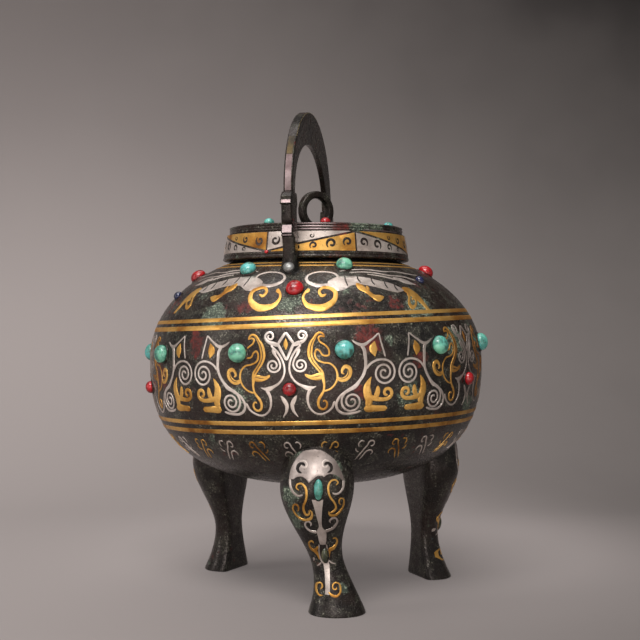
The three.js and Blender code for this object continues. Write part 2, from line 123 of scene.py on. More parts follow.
# A group that takes places and the given inputs, and puts out what a metal's material needs
def newGroup(name, inputs):
    tree = bpy.data.node_groups.new(name, "ShaderNodeTree")
    sides = {"INPUT": {"Vector": ["Where"], **inputs},
             "OUTPUT": {"Color": ["Colour"], "Float": ["Roughness", "Metal", "Height"]}}
    for side, kinds in sides.items():
        for kind, labels in kinds.items():
            for label in labels:
                tree.interface.new_socket(label, in_out=side, socket_type="NodeSocket" + kind)
    return tree, wires(tree.nodes.new("NodeGroupInput").outputs), tree.nodes.new("NodeGroupOutput").inputs


def newMaterial(name):
    material = bpy.data.materials.new(name)
    material.use_nodes = True
    tree = material.node_tree
    tree.nodes.clear()
    shader = put(tree, "BsdfPrincipled", {})
    put(tree, "OutputMaterial", {0: Wire(shader.outputs[0])})
    return material, tree, shader.inputs, Wire(put(tree, "TexCoord", {}).outputs["Object"])


# How near a place is to any of a few spots: 1 at a spot's middle, 0 at its radius. A spot is
# an azimuth, a distance from the axis, a level and a radius.
def nearSpots(where, spots):
    value = None
    for azimuth, ring, level, radius in spots:
        middle = (onRing(np.radians(azimuth), ring, level) + bellyAxis) * mm
        near = where.awayFrom(middle).mask(0, radius * mm, 1, 0, "LINEAR")
        value = value.larger(near) if value else near
    return value


# Old bronze: near-black metal clouded with brown and olive, with patches of green, red and
# blue growth, pale grains and pits. The amounts move the thresholds of the patches, and a
# spot raises its patch at one place.
def makePatinaGroup():
    tree, given, out = newGroup("bronzePatina", {"Float": [
        "Green", "Red", "Blue", "Grain", "Dull", "Green spot", "Red spot", "Blue spot"]})
    where = given["Where"]
    broad = where.noise(30, 4, 0.6, (0.31, 0.11, 0.05), 0.3)
    cloud = where.noise(170, 5, 0.65, (4.4, 1.4, 2.2), 0.4)
    fine = where.noise(420, 5, 0.7, (0.2, 1.4, 0.3))
    grain = where.noise(1500, 3, 0.6, (2.1, 0.7, 0.4))
    greenSeed = where.noise(62, 6, 0.68, (1.7, 0.4, 0.9), 0.5)
    redSeed = where.noise(48, 6, 0.72, (3.3, 2.2, 1.1), 0.6)
    blueSeed = where.noise(85, 4, 0.6, (5.1, 3.2, 4.4), 0.2)

    # A patch grows where its own noise, broken up by the fine one, passes a threshold
    def patch(seed, growth, rare=0.72, common=0.44, soft=0.08):
        threshold = given[growth].mask(0, 1, rare, common, "LINEAR")
        return (seed * 0.7 + fine * 0.3 + given[growth + " spot"] * 0.3 - threshold).mask(0, soft)

    base = broad.mask(0.38, 0.62).mix((0.004, 0.0045, 0.004), (0.015, 0.009, 0.007))
    base = cloud.mask(0.46, 0.64, 0, 0.7).mix(base, (0.020, 0.021, 0.015))
    base = fine.mask(0.42, 0.30, 0, 0.7).mix(base, (0.003, 0.003, 0.003))
    specks = grain.mask(0.56, 0.64) * cloud.mask(0.46, 0.58, 0.1)
    base = (specks * given["Grain"]).mix(base, (0.21, 0.20, 0.16))
    green = patch(greenSeed, "Green")
    greenTone = fine.mask(0.4, 0.6).mix((0.010, 0.024, 0.018), (0.048, 0.070, 0.048))
    base = (green * 0.85).mix(base, greenTone)
    pale = green * grain.mask(0.52, 0.62)
    base = (pale * given["Grain"]).mix(base, (0.32, 0.37, 0.28))
    red = patch(redSeed, "Red") * grain.mask(0.40, 0.58, 0.45, 0.95)
    redTone = fine.mask(0.38, 0.62).mix((0.022, 0.003, 0.002), (0.130, 0.012, 0.009))
    base = red.mix(base, redTone)
    blue = patch(blueSeed, "Blue", 0.8, 0.52, 0.05)
    blueTone = grain.mask(0.4, 0.62).mix((0.02, 0.10, 0.16), (0.30, 0.44, 0.46))
    base = (blue * 0.85).mix(base, blueTone)
    growth = green.larger(blue).larger(red * 0.5)
    rough = growth * 0.24 + fine.mask(0.3, 0.7, 0.21, 0.38)
    crust = (growth + 0.35) * (fine + 0.2)
    feed(out, {"Colour": base, "Roughness": rough * given["Dull"], "Metal": growth * -0.1 + 0.12,
               "Height": grain.mask(0.36, 0.46, 0, 0.5) + crust})
    return tree


# Hammered inlay: two tones of the metal, small dark pits and patches of tarnish. Stain spots darken it
# further, some as tarnish and some as painted shade; a painted-highlight spot clears that darkening so that a
# painted highlight shows there.
def makeInlayGroup():
    tree, given, out = newGroup("hammeredInlay", {"Color": ["Bright", "Deep", "TarnishAndShade"],
                                                  "Float": ["Wear", "Stain spot", "Polish spot"]})
    where = given["Where"]
    broad = where.noise(55, 5, 0.6, (0.9, 2.3, 0.1), 0.4)
    fine = where.noise(520, 4, 0.65, (1.2, 0.2, 2.6))
    grain = where.noise(2100, 2, 0.5, (0.4, 3.1, 1.6))
    tone = broad.mask(0.36, 0.64).mix(given["Bright"], given["Deep"])
    tone = fine.mask(0.45, 0.75, 0, 0.5).mix(tone, given["Deep"])
    # Broad tarnish, and spots of tarnish or of painted shade; a painted-highlight spot clears both
    stainAndShade = (broad.mask(0.50, 0.72) * given["Wear"]).larger(given["Stain spot"].mask(0, 0.6, 0, 0.75))
    stainAndShade = stainAndShade * given["Polish spot"].mask(0, 0.7, 1, 0)
    pits = grain.mask(0.66, 0.72, 0, 0.8)
    tone = pits.mix(stainAndShade.mix(tone, given["TarnishAndShade"]), (0.03, 0.022, 0.016))
    feed(out, {"Colour": tone, "Roughness": fine.mask(0.3, 0.7, 0.30, 0.46) + stainAndShade * 0.3,
               "Metal": pits * -0.6 + 0.8, "Height": fine - pits})
    return tree


patinaGroup, inlayGroup = makePatinaGroup(), makeInlayGroup()


# A metal's material: a group's colours and masks, with its height as a bump, and plain values
def metalMaterial(name, group, values, bump, depth, spots, plain):
    material, tree, shader, where = newMaterial(name)
    near = {label + " spot": nearSpots(where, places) for label, places in spots.items()}
    made = wires(put(tree, "Group", {"Where": where, **values, **near}, node_tree=group).outputs)
    feed(shader, {"Base Color": made["Colour"], "Roughness": made["Roughness"],
                  "Metallic": made["Metal"], "Normal": made["Height"].bump(bump, depth), **plain})
    return material


def bronzeMaterial(name, green, red, blue, grain=0.7, bump=0.6, dull=1.0, shine=0.45, **spots):
    values = {"Green": green, "Red": red, "Blue": blue, "Grain": grain, "Dull": dull}
    return metalMaterial(name, patinaGroup, values, bump, 0.35, spots,
                         {"Specular IOR Level": shine, "Specular Tint": (1.0, 0.86, 0.83)})


# The tarnish colour also darkens the places that stain spots mark as painted shade
def inlayMaterial(name, bright, deep, tarnishAndShade, wear, **spots):
    values = {"Bright": bright, "Deep": deep, "TarnishAndShade": tarnishAndShade, "Wear": wear}
    return metalMaterial(name, inlayGroup, values, 0.35, 0.15, spots, {})


# Polished stone: a mottled body, veins along the middle of a noise, and a glossy skin. A broad
# noise gives neighbouring beads different tints.
def stoneMaterial(name, light, dark, vein, veinWidth, mottle, roughness, other=None):
    material, tree, shader, where = newMaterial(name)
    cloud = where.noise(mottle, 5, 0.6, (0.7, 1.9, 3.1), 0.4)
    web = where.noise(mottle * 0.9, 6, 0.7, (2.7, 0.3, 1.4), 1.2)
    ridge = (web - 0.5).into("Math", {}, operation="ABSOLUTE")
    veins = ridge.mask(0, veinWidth, 1, 0) * cloud.mask(0.45, 0.6)
    tint = where.noise(22, 1, 0.5, (1.3, 4.1, 0.6)).mask(0.42, 0.56).mix(light, other or light)
    tone = cloud.mask(0.36, 0.64).mix(tint, dark)
    feed(shader, {"Base Color": veins.mix(tone, vein),
                  "Roughness": veins.mask(0, 1, roughness, roughness + 0.2),
                  "Normal": (cloud - veins).bump(0.25, 0.2), "Coat Weight": 0.3, "Coat Roughness": 0.12})
    return material


# Growth and wear at set places: azimuth, distance from the axis, level, radius
bellyBronze = bronzeMaterial("bellyBronze", 0.5, 0.5, 0.2, Green=[
    (24, 76, 113, 6), (10, 60, 137, 8), (-26, 77, 87, 8), (-19, 77, 89, 4), (-36, 70, 123, 10),
    (-8, 70, 127, 8), (-2, 60, 137, 8), (38, 68, 126, 12), (52, 74, 112, 9), (30, 77, 90, 9),
    (62, 76, 84, 9)], Red=[
    (-41, 76, 111, 10), (-24, 70, 127, 6), (29, 68, 130, 7), (17, 76, 113, 9), (34, 77, 104, 7),
    (-62, 76, 96, 8), (14, 77, 92, 6)], Blue=[(-34, 77, 103, 4.5), (-47, 69, 125, 4)])
legBronze = bronzeMaterial("legBronze", 0.45, 0.4, 0.35, Green=[
    (-11, 66, 48, 9), (-8, 63, 39, 7), (-9, 68, 67, 8), (9, 69, 62, 7), (11, 62, 11, 4),
    (-14, 66, 57, 7)], Red=[(5, 70, 6, 6), (9, 66, 17, 5)], Blue=[(0, 60, 14.5, 3), (0, 68, 4, 3.5)])
lidBronze = bronzeMaterial("lidBronze", 0.5, 0.5, 0.1, Red=[(16, 40, 160, 6)], Green=[
    (30, 40, 160, 9), (41, 40, 160, 8), (38, 42, 153, 6)])
handleBronze = bronzeMaterial("handleBronze", 0.35, 0.45, 0, 0.3, 0.3, dull=0.9, shine=0.25)
cutBronze = bronzeMaterial("cutBronze", 0.1, 0.3, 0, 0.2)
# Darkened spots on the gold and silver: the two broad ones on the vessel's sides are painted shade, the small
# one is tarnish
tarnishAndSideShade = [(68, 74, 104, 34), (-78, 72, 100, 28), (24, 76, 112, 6)]
gold = inlayMaterial("goldInlay", (0.78, 0.46, 0.13), (0.50, 0.24, 0.04), (0.16, 0.05, 0.012), 0.85,
                     Stain=tarnishAndSideShade)
silver = inlayMaterial("silverInlay", (0.68, 0.60, 0.55), (0.44, 0.37, 0.33), (0.15, 0.12, 0.105), 0.7,
                       Stain=tarnishAndSideShade)
# The mask's top and sides are darkened as painted shade, and a spot low in its middle is cleared as a painted
# highlight
maskSilver = inlayMaterial("maskSilver", (0.50, 0.43, 0.40), (0.33, 0.28, 0.26), (0.15, 0.12, 0.105), 0.9,
                           Stain=[(-1, 69, 70, 9), (-12, 68, 60, 7), (11, 68, 60, 9)],
                           Polish=[(-1.5, 69, 57, 5.5)])
# A spot of painted shade dims this silver near the upper end of the bail's front silver
ringSilver = inlayMaterial("ringSilver", (0.26, 0.20, 0.20), (0.15, 0.11, 0.11), (0.07, 0.045, 0.045), 1,
                           Stain=[(-14, 48, 188, 10)])
greyMetal = inlayMaterial("greyMetal", (0.38, 0.38, 0.37), (0.20, 0.20, 0.19), (0.05, 0.05, 0.05), 0.8)
tornGold = inlayMaterial("tornGold", (0.060, 0.040, 0.015), (0.018, 0.014, 0.008), (0.02, 0.014, 0.01), 1)
# Pale gold for the bail's edge line: wear and a painted glint
wearAndGlintEdge = inlayMaterial("wearAndGlintEdge", (0.50, 0.42, 0.25), (0.25, 0.19, 0.10), (0.03, 0.02, 0.012), 1)
turquoise = stoneMaterial("turquoise", (0.15, 0.42, 0.28), (0.04, 0.17, 0.13), (0.012, 0.03, 0.025),
                          0.03, 240, 0.26, (0.09, 0.38, 0.37))
coral = stoneMaterial("coral", (0.38, 0.006, 0.010), (0.16, 0.002, 0.004), (0.06, 0, 0), 0.012, 200, 0.27)
lapis = stoneMaterial("lapis", (0.010, 0.014, 0.06), (0.004, 0.006, 0.022), (0.12, 0.10, 0.06),
                      0.008, 400, 0.2)
olive = stoneMaterial("oliveStone", (0.08, 0.08, 0.04), (0.025, 0.03, 0.016), (0.01, 0.01, 0.005),
                      0.02, 500, 0.25)
print("materials made")

# Studio: sizes and places in metres, about the belly's axis. A lamp has a place, a size, its
# watts and its tint.
studio = {
    "camera": (0.00183, -0.548, 0.120), "lens": 67.5, "sensor": 36,
    "aim": (0, 0, 0.11),
    "floorBack": 0.20, "curve": 0.30, "height": 1.5, "halfWidth": 1.6, "floorFront": -1.6,
    "lamps": {
        "key": ((-0.19, -0.90, 1.22), (0.85, 0.5), 21, (1, 0.98, 0.96)),
        "fill": ((1.0, -0.85, 0.45), (0.8, 0.8), 0.25, (1, 0.96, 0.93)),
        "top": ((-0.15, 0.10, 1.25), (1.2, 0.8), 8, (1, 0.98, 0.96)),
        "front": ((-0.12, -1.35, 0.22), (0.8, 0.6), 5, (1, 0.96, 0.92)),
        "left": ((-1.1, -0.35, 0.45), (0.3, 0.9), 2.4, (1, 0.97, 0.95)),
    },
    "world": 0.30, "worldTint": (0.80, 0.77, 0.75),
    # How strongly the backdrop glows with its own colour: a painted glow that lifts its shadows
    "glow": 0.45,
}


def makeStudio():
    scene, shift = bpy.context.scene, Vector(bellyAxis * mm)
    camera = bpy.data.objects.new("camera", bpy.data.cameras.new("camera"))
    camera.location = Vector(studio["camera"]) + shift
    camera.rotation_euler = (np.pi / 2, 0, 0)
    camera.data.lens = studio["lens"]
    camera.data.sensor_width = studio["sensor"]
    camera.data.clip_start = 0.01
    scene.collection.objects.link(camera)
    scene.camera = camera
    for name, (place, size, watts, tint) in studio["lamps"].items():
        lamp = bpy.data.lights.new(name, "AREA")
        lamp.shape = "RECTANGLE"
        lamp.size, lamp.size_y = size
        lamp.energy = watts
        lamp.color = tint
        made = bpy.data.objects.new(name, lamp)
        made.location = Vector(place) + shift
        towards = Vector(studio["aim"]) - Vector(place)
        made.rotation_euler = towards.to_track_quat("-Z", "Y").to_euler()
        scene.collection.objects.link(made)
    scene.world = bpy.data.worlds.new("studio")
    scene.world.use_nodes = True
    feed(scene.world.node_tree.nodes["Background"].inputs, {0: studio["worldTint"], 1: studio["world"]})
    scene.view_settings.view_transform = "Standard"


# Quads of a grid of rows by columns; a closed direction joins its last line to its first
def gridFaces(rows, columns, closedRows=False, closedColumns=False):
    r = np.arange(rows if closedRows else rows - 1)[:, None]
    c = np.arange(columns if closedColumns else columns - 1)
    r2, c2 = (r + 1) % rows, (c + 1) % columns
    return stacked(r * columns + c, r * columns + c2, r2 * columns + c2, r2 * columns + c).reshape(-1, 4)


# Backdrop: a floor that bends up through a quarter circle into a wall. Seen from behind it
# is clear, so other views look through it.
def makeBackdrop():
    turn = np.linspace(0, np.pi / 2, 25)
    bend = stacked(studio["floorBack"] + studio["curve"] * np.sin(turn), studio["curve"] * (1 - np.cos(turn)))
    line = np.concatenate([[[studio["floorFront"], 0]], bend, [[bend[-1, 0], studio["height"]]]])
    across = np.linspace(-studio["halfWidth"], studio["halfWidth"], 9)
    mesh = bpy.data.meshes.new("backdrop")
    mesh.from_pydata(stacked(across, line[:, :1], line[:, 1:]).reshape(-1, 3), [], gridFaces(len(line), 9))
    mesh.shade_smooth()
    backdrop = bpy.data.objects.new("backdrop", mesh)
    bpy.context.collection.objects.link(backdrop)
    material, tree, shader, where = newMaterial("backdropPaper")
    x, y, z = (Wire(socket) for socket in put(tree, "SeparateXYZ", {0: where}).outputs)
    # The paper is painted lighter at the left and on the floor and darker towards the top right: painted
    # shade of the light's falloff across the studio
    low = x.mask(-0.26, 0.30).mix((0.205, 0.182, 0.177), (0.083, 0.074, 0.071))
    high = x.mask(-0.40, 0.40).mix((0.083, 0.073, 0.071), (0.002, 0.0018, 0.0018))
    tone = z.mask(0.08, 0.47).mix(low, high)
    # Close behind the vessel a painted pool of light makes the floor paler, so that its shadow stays soft
    tone = where.awayFrom((0.02, 0.09, 0)).mask(0.23, 0.03).mix(tone, (0.235, 0.209, 0.204))
    # In front, out of the camera's sight, the floor is pale and lights the lower surfaces
    tone = y.mask(-0.13, -0.35).mix(tone, (0.85, 0.79, 0.75))
    tone = where.noise(9, 3, 0.5).mask(0.3, 0.7, 0, 0.06).mix(tone, (0.2, 0.18, 0.17))
    # The paper glows with its own colour, a painted glow that lifts its shadows and, from the pale floor in
    # front, lights the lower surfaces
    feed(shader, {"Base Color": tone, "Emission Color": tone, "Emission Strength": studio["glow"],
                  "Roughness": 0.9, "Specular IOR Level": 0.1})
    behind = Wire(put(tree, "NewGeometry", {}).outputs["Backfacing"])
    clear = Wire(put(tree, "BsdfTransparent", {}).outputs[0])
    output = next(node for node in tree.nodes if node.type == "OUTPUT_MATERIAL").inputs
    paper = Wire(output[0].links[0].from_socket)
    feed(output, {0: behind.into("MixShader", {1: paper, 2: clear})})
    mesh.materials.append(material)


makeStudio()
makeBackdrop()
print("studio made")


# Gathers shells, each of points (mm about the axis) and groups of faces, in one mesh in metres
def addPiece(name, shells, material, body="vessel", stands=(), sharpAngle=40):
    starts = np.cumsum([0] + [len(points) for points, faces in shells])
    groups = [group + start for (points, faces), start in zip(shells, starts) for group in faces]
    corners = np.concatenate([group.ravel() for group in groups])
    sizes = np.concatenate([np.full(len(group), group.shape[1]) for group in groups])
    places = (np.concatenate([points for points, faces in shells]) + bellyAxis) * mm
    mesh = bpy.data.meshes.new(name)
    mesh.vertices.add(len(places))
    mesh.vertices.foreach_set("co", places.astype(np.float32).ravel())
    mesh.loops.add(len(corners))
    mesh.loops.foreach_set("vertex_index", corners.astype(np.int32))
    mesh.polygons.add(len(sizes))
    mesh.polygons.foreach_set("loop_start", (np.cumsum(sizes) - sizes).astype(np.int32))
    mesh.update(calc_edges=True)
    mesh.validate()
    mesh.shade_smooth()
    mesh.set_sharp_from_angle(angle=np.radians(sharpAngle))
    mesh.materials.append(material)
    piece = bpy.data.objects.new(name, mesh)
    bpy.context.collection.objects.link(piece)
    if stands:
        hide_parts(*stands)
    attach(piece, body)


# Rows of points, each row a closed ring, joined along their length. Seen along the rows'
# direction each ring runs clockwise. Here flat ends close them.
def skinned(rings):
    rows, columns = rings.shape[:2]
    fan, last = np.arange(1, columns - 1), (rows - 1) * columns
    return rings.reshape(-1, 3), [gridFaces(rows, columns, False, True), stacked(0, fan + 1, fan),
                                  stacked(0, fan, fan + 1) + last]


# Rings closed by a tip at each end
def tipped(rings, first, second):
    rows, steps = rings.shape[:2]
    here, last, count = np.arange(steps), (rows - 1) * steps, rows * steps
    following = (here + 1) % steps
    return np.concatenate([rings.reshape(-1, 3), [first, second]]), [
        gridFaces(rows, steps, False, True), stacked(following, here, count),
        stacked(here + last, following + last, count + 1)]


# Rings whose last row joins the first one
def looped(rings):
    return rings.reshape(-1, 3), [gridFaces(*rings.shape[:2], True, True)]


# A body of revolution: [radius, height] points, the first and last on the axis, turned about it
def turned(profile, steps):
    rings = onRing(np.arange(steps) / steps * 2 * np.pi, profile[1:-1, :1], profile[1:-1, 1:])
    return tipped(rings, [0, 0, profile[0, 1]], [0, 0, profile[-1, 1]])


# Belly: two superellipse quarters turned about the axis, with a collar and a hollow
belly = {
    "radius": (bodyHigh[0] - bodyLow[0]) / 2,
    "level": 102.1,
    "domeRise": 49.9, "domePower": 2.13,
    "bowlDrop": 55, "bowlPower": 2.6,
    "base": bodyLow[2],
    "wall": 3.2,
    "collarRadius": 36.8, "collarTop": bodyHigh[2], "lip": 0.8,
    "steps": 192,
}


# The radius falls with the height above or below the widest level
def bellyRadius(height, offset=0.0):
    rise = np.asarray(height, float) - belly["level"]
    reach = np.where(rise > 0, belly["domeRise"], belly["bowlDrop"]) + offset
    power = np.where(rise > 0, belly["domePower"], belly["bowlPower"])
    share = np.clip(1 - np.minimum(1, np.abs(rise) / reach) ** power, 0, None)
    return (belly["radius"] + offset) * share ** (1 / power)


# The same superellipse solved for the height at a distance from the axis
def domeHeight(radius, offset=0.0):
    share = 1 - (np.asarray(radius, float) / (belly["radius"] + offset)) ** belly["domePower"]
    return belly["level"] + (belly["domeRise"] + offset) * share ** (1 / belly["domePower"])


# The meridian from the base up to a radius on the dome, with points close where it bends
def meridian(offset, base, topRadius, steps):
    drop, rise = belly["bowlDrop"] + offset, belly["domeRise"] + offset
    low = np.arcsin((belly["level"] - base) / drop)
    high = np.arcsin((domeHeight(topRadius, offset) - belly["level"]) / rise)
    below = belly["level"] - drop * np.sin(np.linspace(low, 0, steps, endpoint=False))
    above = belly["level"] + rise * np.sin(np.linspace(0, high, steps))
    height = np.concatenate([below, above])
    return stacked(bellyRadius(height, offset), height)


# The profile goes from the foot up the outside, over the rounded lip and down the inside
def makeBelly():
    keys = ("base", "wall", "collarRadius", "collarTop", "lip")
    base, wall, collar, top, lip = (belly[key] for key in keys)
    mouth = collar - wall
    outer = meridian(0, base, collar, 34)
    inner = meridian(-wall, base + wall, mouth, 14)[::-1]
    turn = np.linspace(0, np.pi / 2, 5)
    rimOut = stacked(collar - lip + lip * np.cos(turn), top - lip + lip * np.sin(turn))
    rimIn = stacked(mouth + lip - lip * np.sin(turn), top - lip + lip * np.cos(turn))
    foot = [[0, base], [outer[0, 0] * 0.6, base]]
    well = [[inner[-1, 0] * 0.6, inner[-1, 1]], [0, inner[-1, 1]]]
    profile = np.concatenate([foot, outer, rimOut, rimIn, inner, well])
    addPiece("bellyShell", [turned(profile, belly["steps"])], bellyBronze, stands=["vessel_body"])


makeBelly()
print("belly made")


# Moves places on a surface out along its normal, found from two small steps
def raised(surface, across, along, lift):
    small = 0.05
    place = surface(across, along)
    normal = np.cross(surface(across + small, along) - place, surface(across, along + small) - place)
    normal /= np.linalg.norm(normal, axis=-1, keepdims=True)
    return place + normal * np.asarray(lift)[..., None]


# How far along a line each of its points lies
def travelled(points):
    return np.concatenate([[0], np.cumsum(np.hypot(*np.diff(points[:, :2], axis=0).T))])


# A smooth line through chosen points: a Hermite curve whose slopes come from the neighbours
def smoothPath(points, step=0.55):
    points = np.array(points, float)
    along = travelled(points)
    slope = np.gradient(points, along, axis=0)
    spots = np.linspace(0, along[-1], max(7, int(along[-1] / step) + 1))
    i = np.clip(np.searchsorted(along, spots, side="right") - 1, 0, len(along) - 2)
    h = np.diff(along)[i][:, None]
    f = (spots - along[i])[:, None] / h
    return ((2 * f**3 - 3 * f**2 + 1) * points[i] + (f**3 - 2 * f**2 + f) * h * slope[i]
            + (3 * f**2 - 2 * f**3) * points[i + 1] + (f**3 - f**2) * h * slope[i + 1])


# A spiral: the radius changes steadily while the angle sweeps, and so does the width
def curl(centre, radii, start, sweep, widths):
    share = np.linspace(0, 1, max(6, int(abs(sweep) / 24)))
    angle = np.radians(start + sweep * share)
    radius, width = (first + (last - first) * share for first, last in (radii, widths))
    return stacked(centre[0] + radius * np.cos(angle), centre[1] + radius * np.sin(angle), width)


# Rows of points, one after the other
def joined(*parts):
    return np.concatenate([np.atleast_2d(np.array(part, float)) for part in parts])


# How far an inlaid strip stands out of the bronze, how deep its edges go, where its back
# begins to fall, and how much higher each metal is laid
inlay = {"proud": 0.11, "sunk": 0.18, "edge": 0.8, "hoop": 0.12,
         "lift": {"Silver": 0, "Gold": 0.03, "Dark": 0.1}}


# A strip laid on a surface: it follows the path, tapers with its width, has round ends and a
# low domed back, and its edges go under the bronze
def strip(surface, path, lift=0.0, mirror=1, step=0.55):
    line = smoothPath(path, step) * [mirror, 1, 1]
    heading = np.gradient(line[:, :2], axis=0)
    heading /= np.linalg.norm(heading, axis=1, keepdims=True) + 1e-9
    side = stacked(-heading[:, 1], heading[:, 0])
    run, half = travelled(line), np.maximum(line[:, 2], 0.12) / 2
    fromEnd = np.clip(np.minimum(run, run[-1] - run) / half, 0, 1)
    half = half * np.sqrt(np.clip(1 - (1 - fromEnd) ** 2, 0.02, 1))
    edge, high, low = inlay["edge"], inlay["proud"], -inlay["sunk"]
    across = np.array([1, edge, 0.35, -0.35, -edge, -1])
    rise = np.array([low, high * 0.6 + lift, high + lift, high + lift, high * 0.6 + lift, low])
    spots = line[:, None, :2] + side[:, None] * (half[:, None] * across)[..., None]
    return skinned(raised(surface, spots[..., 0], spots[..., 1], rise))


# A plate between two edges, each a row of places: straight lines run from the one edge to the
# other, the rim goes under the bronze, and the faces are turned to look outwards
def plate(surface, first, second, columns):
    # Rows and columns close to the rim keep its edge crisp
    first, second = (np.concatenate([edge[:1], edge[:1] * 0.9 + edge[1:2] * 0.1, edge[1:-1],
                                     edge[-1:] * 0.9 + edge[-2:-1] * 0.1, edge[-1:]])
                     for edge in (first, second))
    share = np.concatenate([[0], np.linspace(0.05, 0.95, columns - 2), [1]])[:, None]
    spots = first[:, None] * (1 - share) + second[:, None] * share
    rows, count = len(first), len(first) * columns
    rise = np.full((rows, columns), inlay["proud"])
    rise[:, 0] = rise[:, -1] = rise[0] = rise[-1] = -inlay["sunk"]
    points = np.concatenate([raised(surface, spots[..., 0], spots[..., 1], lift).reshape(-1, 3)
                             for lift in (rise, -inlay["sunk"] - 0.1)])
    index, faces = np.arange(count).reshape(rows, columns), gridFaces(rows, columns)
    border = np.concatenate([index[0], index[1:, -1], index[-1, -2::-1], index[-2:0:-1, 0]])
    following = np.roll(border, -1)
    groups = [faces, faces[:, ::-1] + count,
              stacked(following, border, border + count, following + count)]
    across, along = (second - first).sum(0), first[-1] + second[-1] - first[0] - second[0]
    if across[0] * along[1] - across[1] * along[0] < 0:
        groups = [group[:, ::-1] for group in groups]
    return points, groups


# A line through chosen points, read at other places along its first measure
def readLine(points, at):
    points = np.array(sorted(points))
    return np.interp(at, points[:, 0], points[:, 1])


# A closed hoop round the axis: a low domed section between two levels of a surface
def hoop(surface, low, high, steps=240):
    across = np.array([-1, -0.8, -0.3, 0.3, 0.8, 1, 0.6, -0.6]) * (high - low) / 2 + (low + high) / 2
    rise = np.array([-0.15, *np.array([0.6, 1, 1, 0.6]) * inlay["hoop"], -0.15, -0.4, -0.4])
    around = np.arange(steps)[::-1, None] / steps * 2 * np.pi * belly["radius"]
    return looped(raised(surface, around, across, rise))


# Lays each metal's paths on a surface, into that metal's list
def lay(made, surface, design, change=(1, 1, 1), mirror=1):
    for metal, paths in design.items():
        made[metal] += [strip(surface, np.array(path) * change, inlay["lift"][metal], mirror)
                        for path in paths]


# One piece of each list; those that aren't named here are cuts that show dark bronze
def finishInlay(place, made, body="vessel"):
    finishes = {"Silver": (silver, "silver"), "Gold": (gold, "gold"), "Mask": (maskSilver, "silver"),
                "Rings": (ringSilver, "silver"), "Beads": (coral, "coral")}
    for kind, shells in made.items():
        material, slotName = finishes.get(kind, (cutBronze, "bronze"))
        addPiece(place + kind, shells, material, body)


# The belly's side: across runs round the belly in mm at its widest, along is a height above
# the given level, which itself rises and falls round the belly by a tilt and sinks by a nod
def sideSurface(azimuth, level, tilt, leaning=True, nod=0.0):
    rise = np.tan(np.radians(tilt)) * belly["radius"]
    lean = np.sin(np.radians(tilt)) * np.cos(np.radians(azimuth)) if leaning else 0

    def place(across, along):
        angle = np.radians(azimuth) + (across - along * lean) / belly["radius"]
        height = level + along + rise * np.sin(angle) + nod * (np.cos(angle) - 1)
        return onRing(angle, bellyRadius(height), height)
    return place


# The shoulder: along is minus the ring's radius, across runs round that ring in mm
def shoulderSurface(azimuth):
    def place(across, along):
        return onRing(np.radians(azimuth) - across / along, -along, domeHeight(-along))
    return place


bands = {
    "upper": {"level": 120.1, "tilt": 2.2, "nod": 0, "stripes": [(-2.7, -0.5), (0.6, 2.4)]},
    "lower": {"level": 77.7, "tilt": 1.45, "nod": 0.6, "stripes": [(-3.2, -1.2), (0.45, 2.4)]},
    "shoulderRings": [42.4, 45.4],
    "ringWidth": 1.2,
}


def makeBands():
    made = []
    for band in (bands["upper"], bands["lower"]):
        surface = sideSurface(0, band["level"], band["tilt"], False, band["nod"])
        made += [hoop(surface, low, high) for low, high in band["stripes"]]
    wholeRing = shoulderSurface(0)

    def ringSurface(across, along):
        return wholeRing(across / belly["radius"] * -along, along)

    half = bands["ringWidth"] / 2
    made += [hoop(ringSurface, -ring - half, -ring + half, 180) for ring in bands["shoulderRings"]]
    addPiece("goldBands", made, gold)


makeBands()
print("bands made")

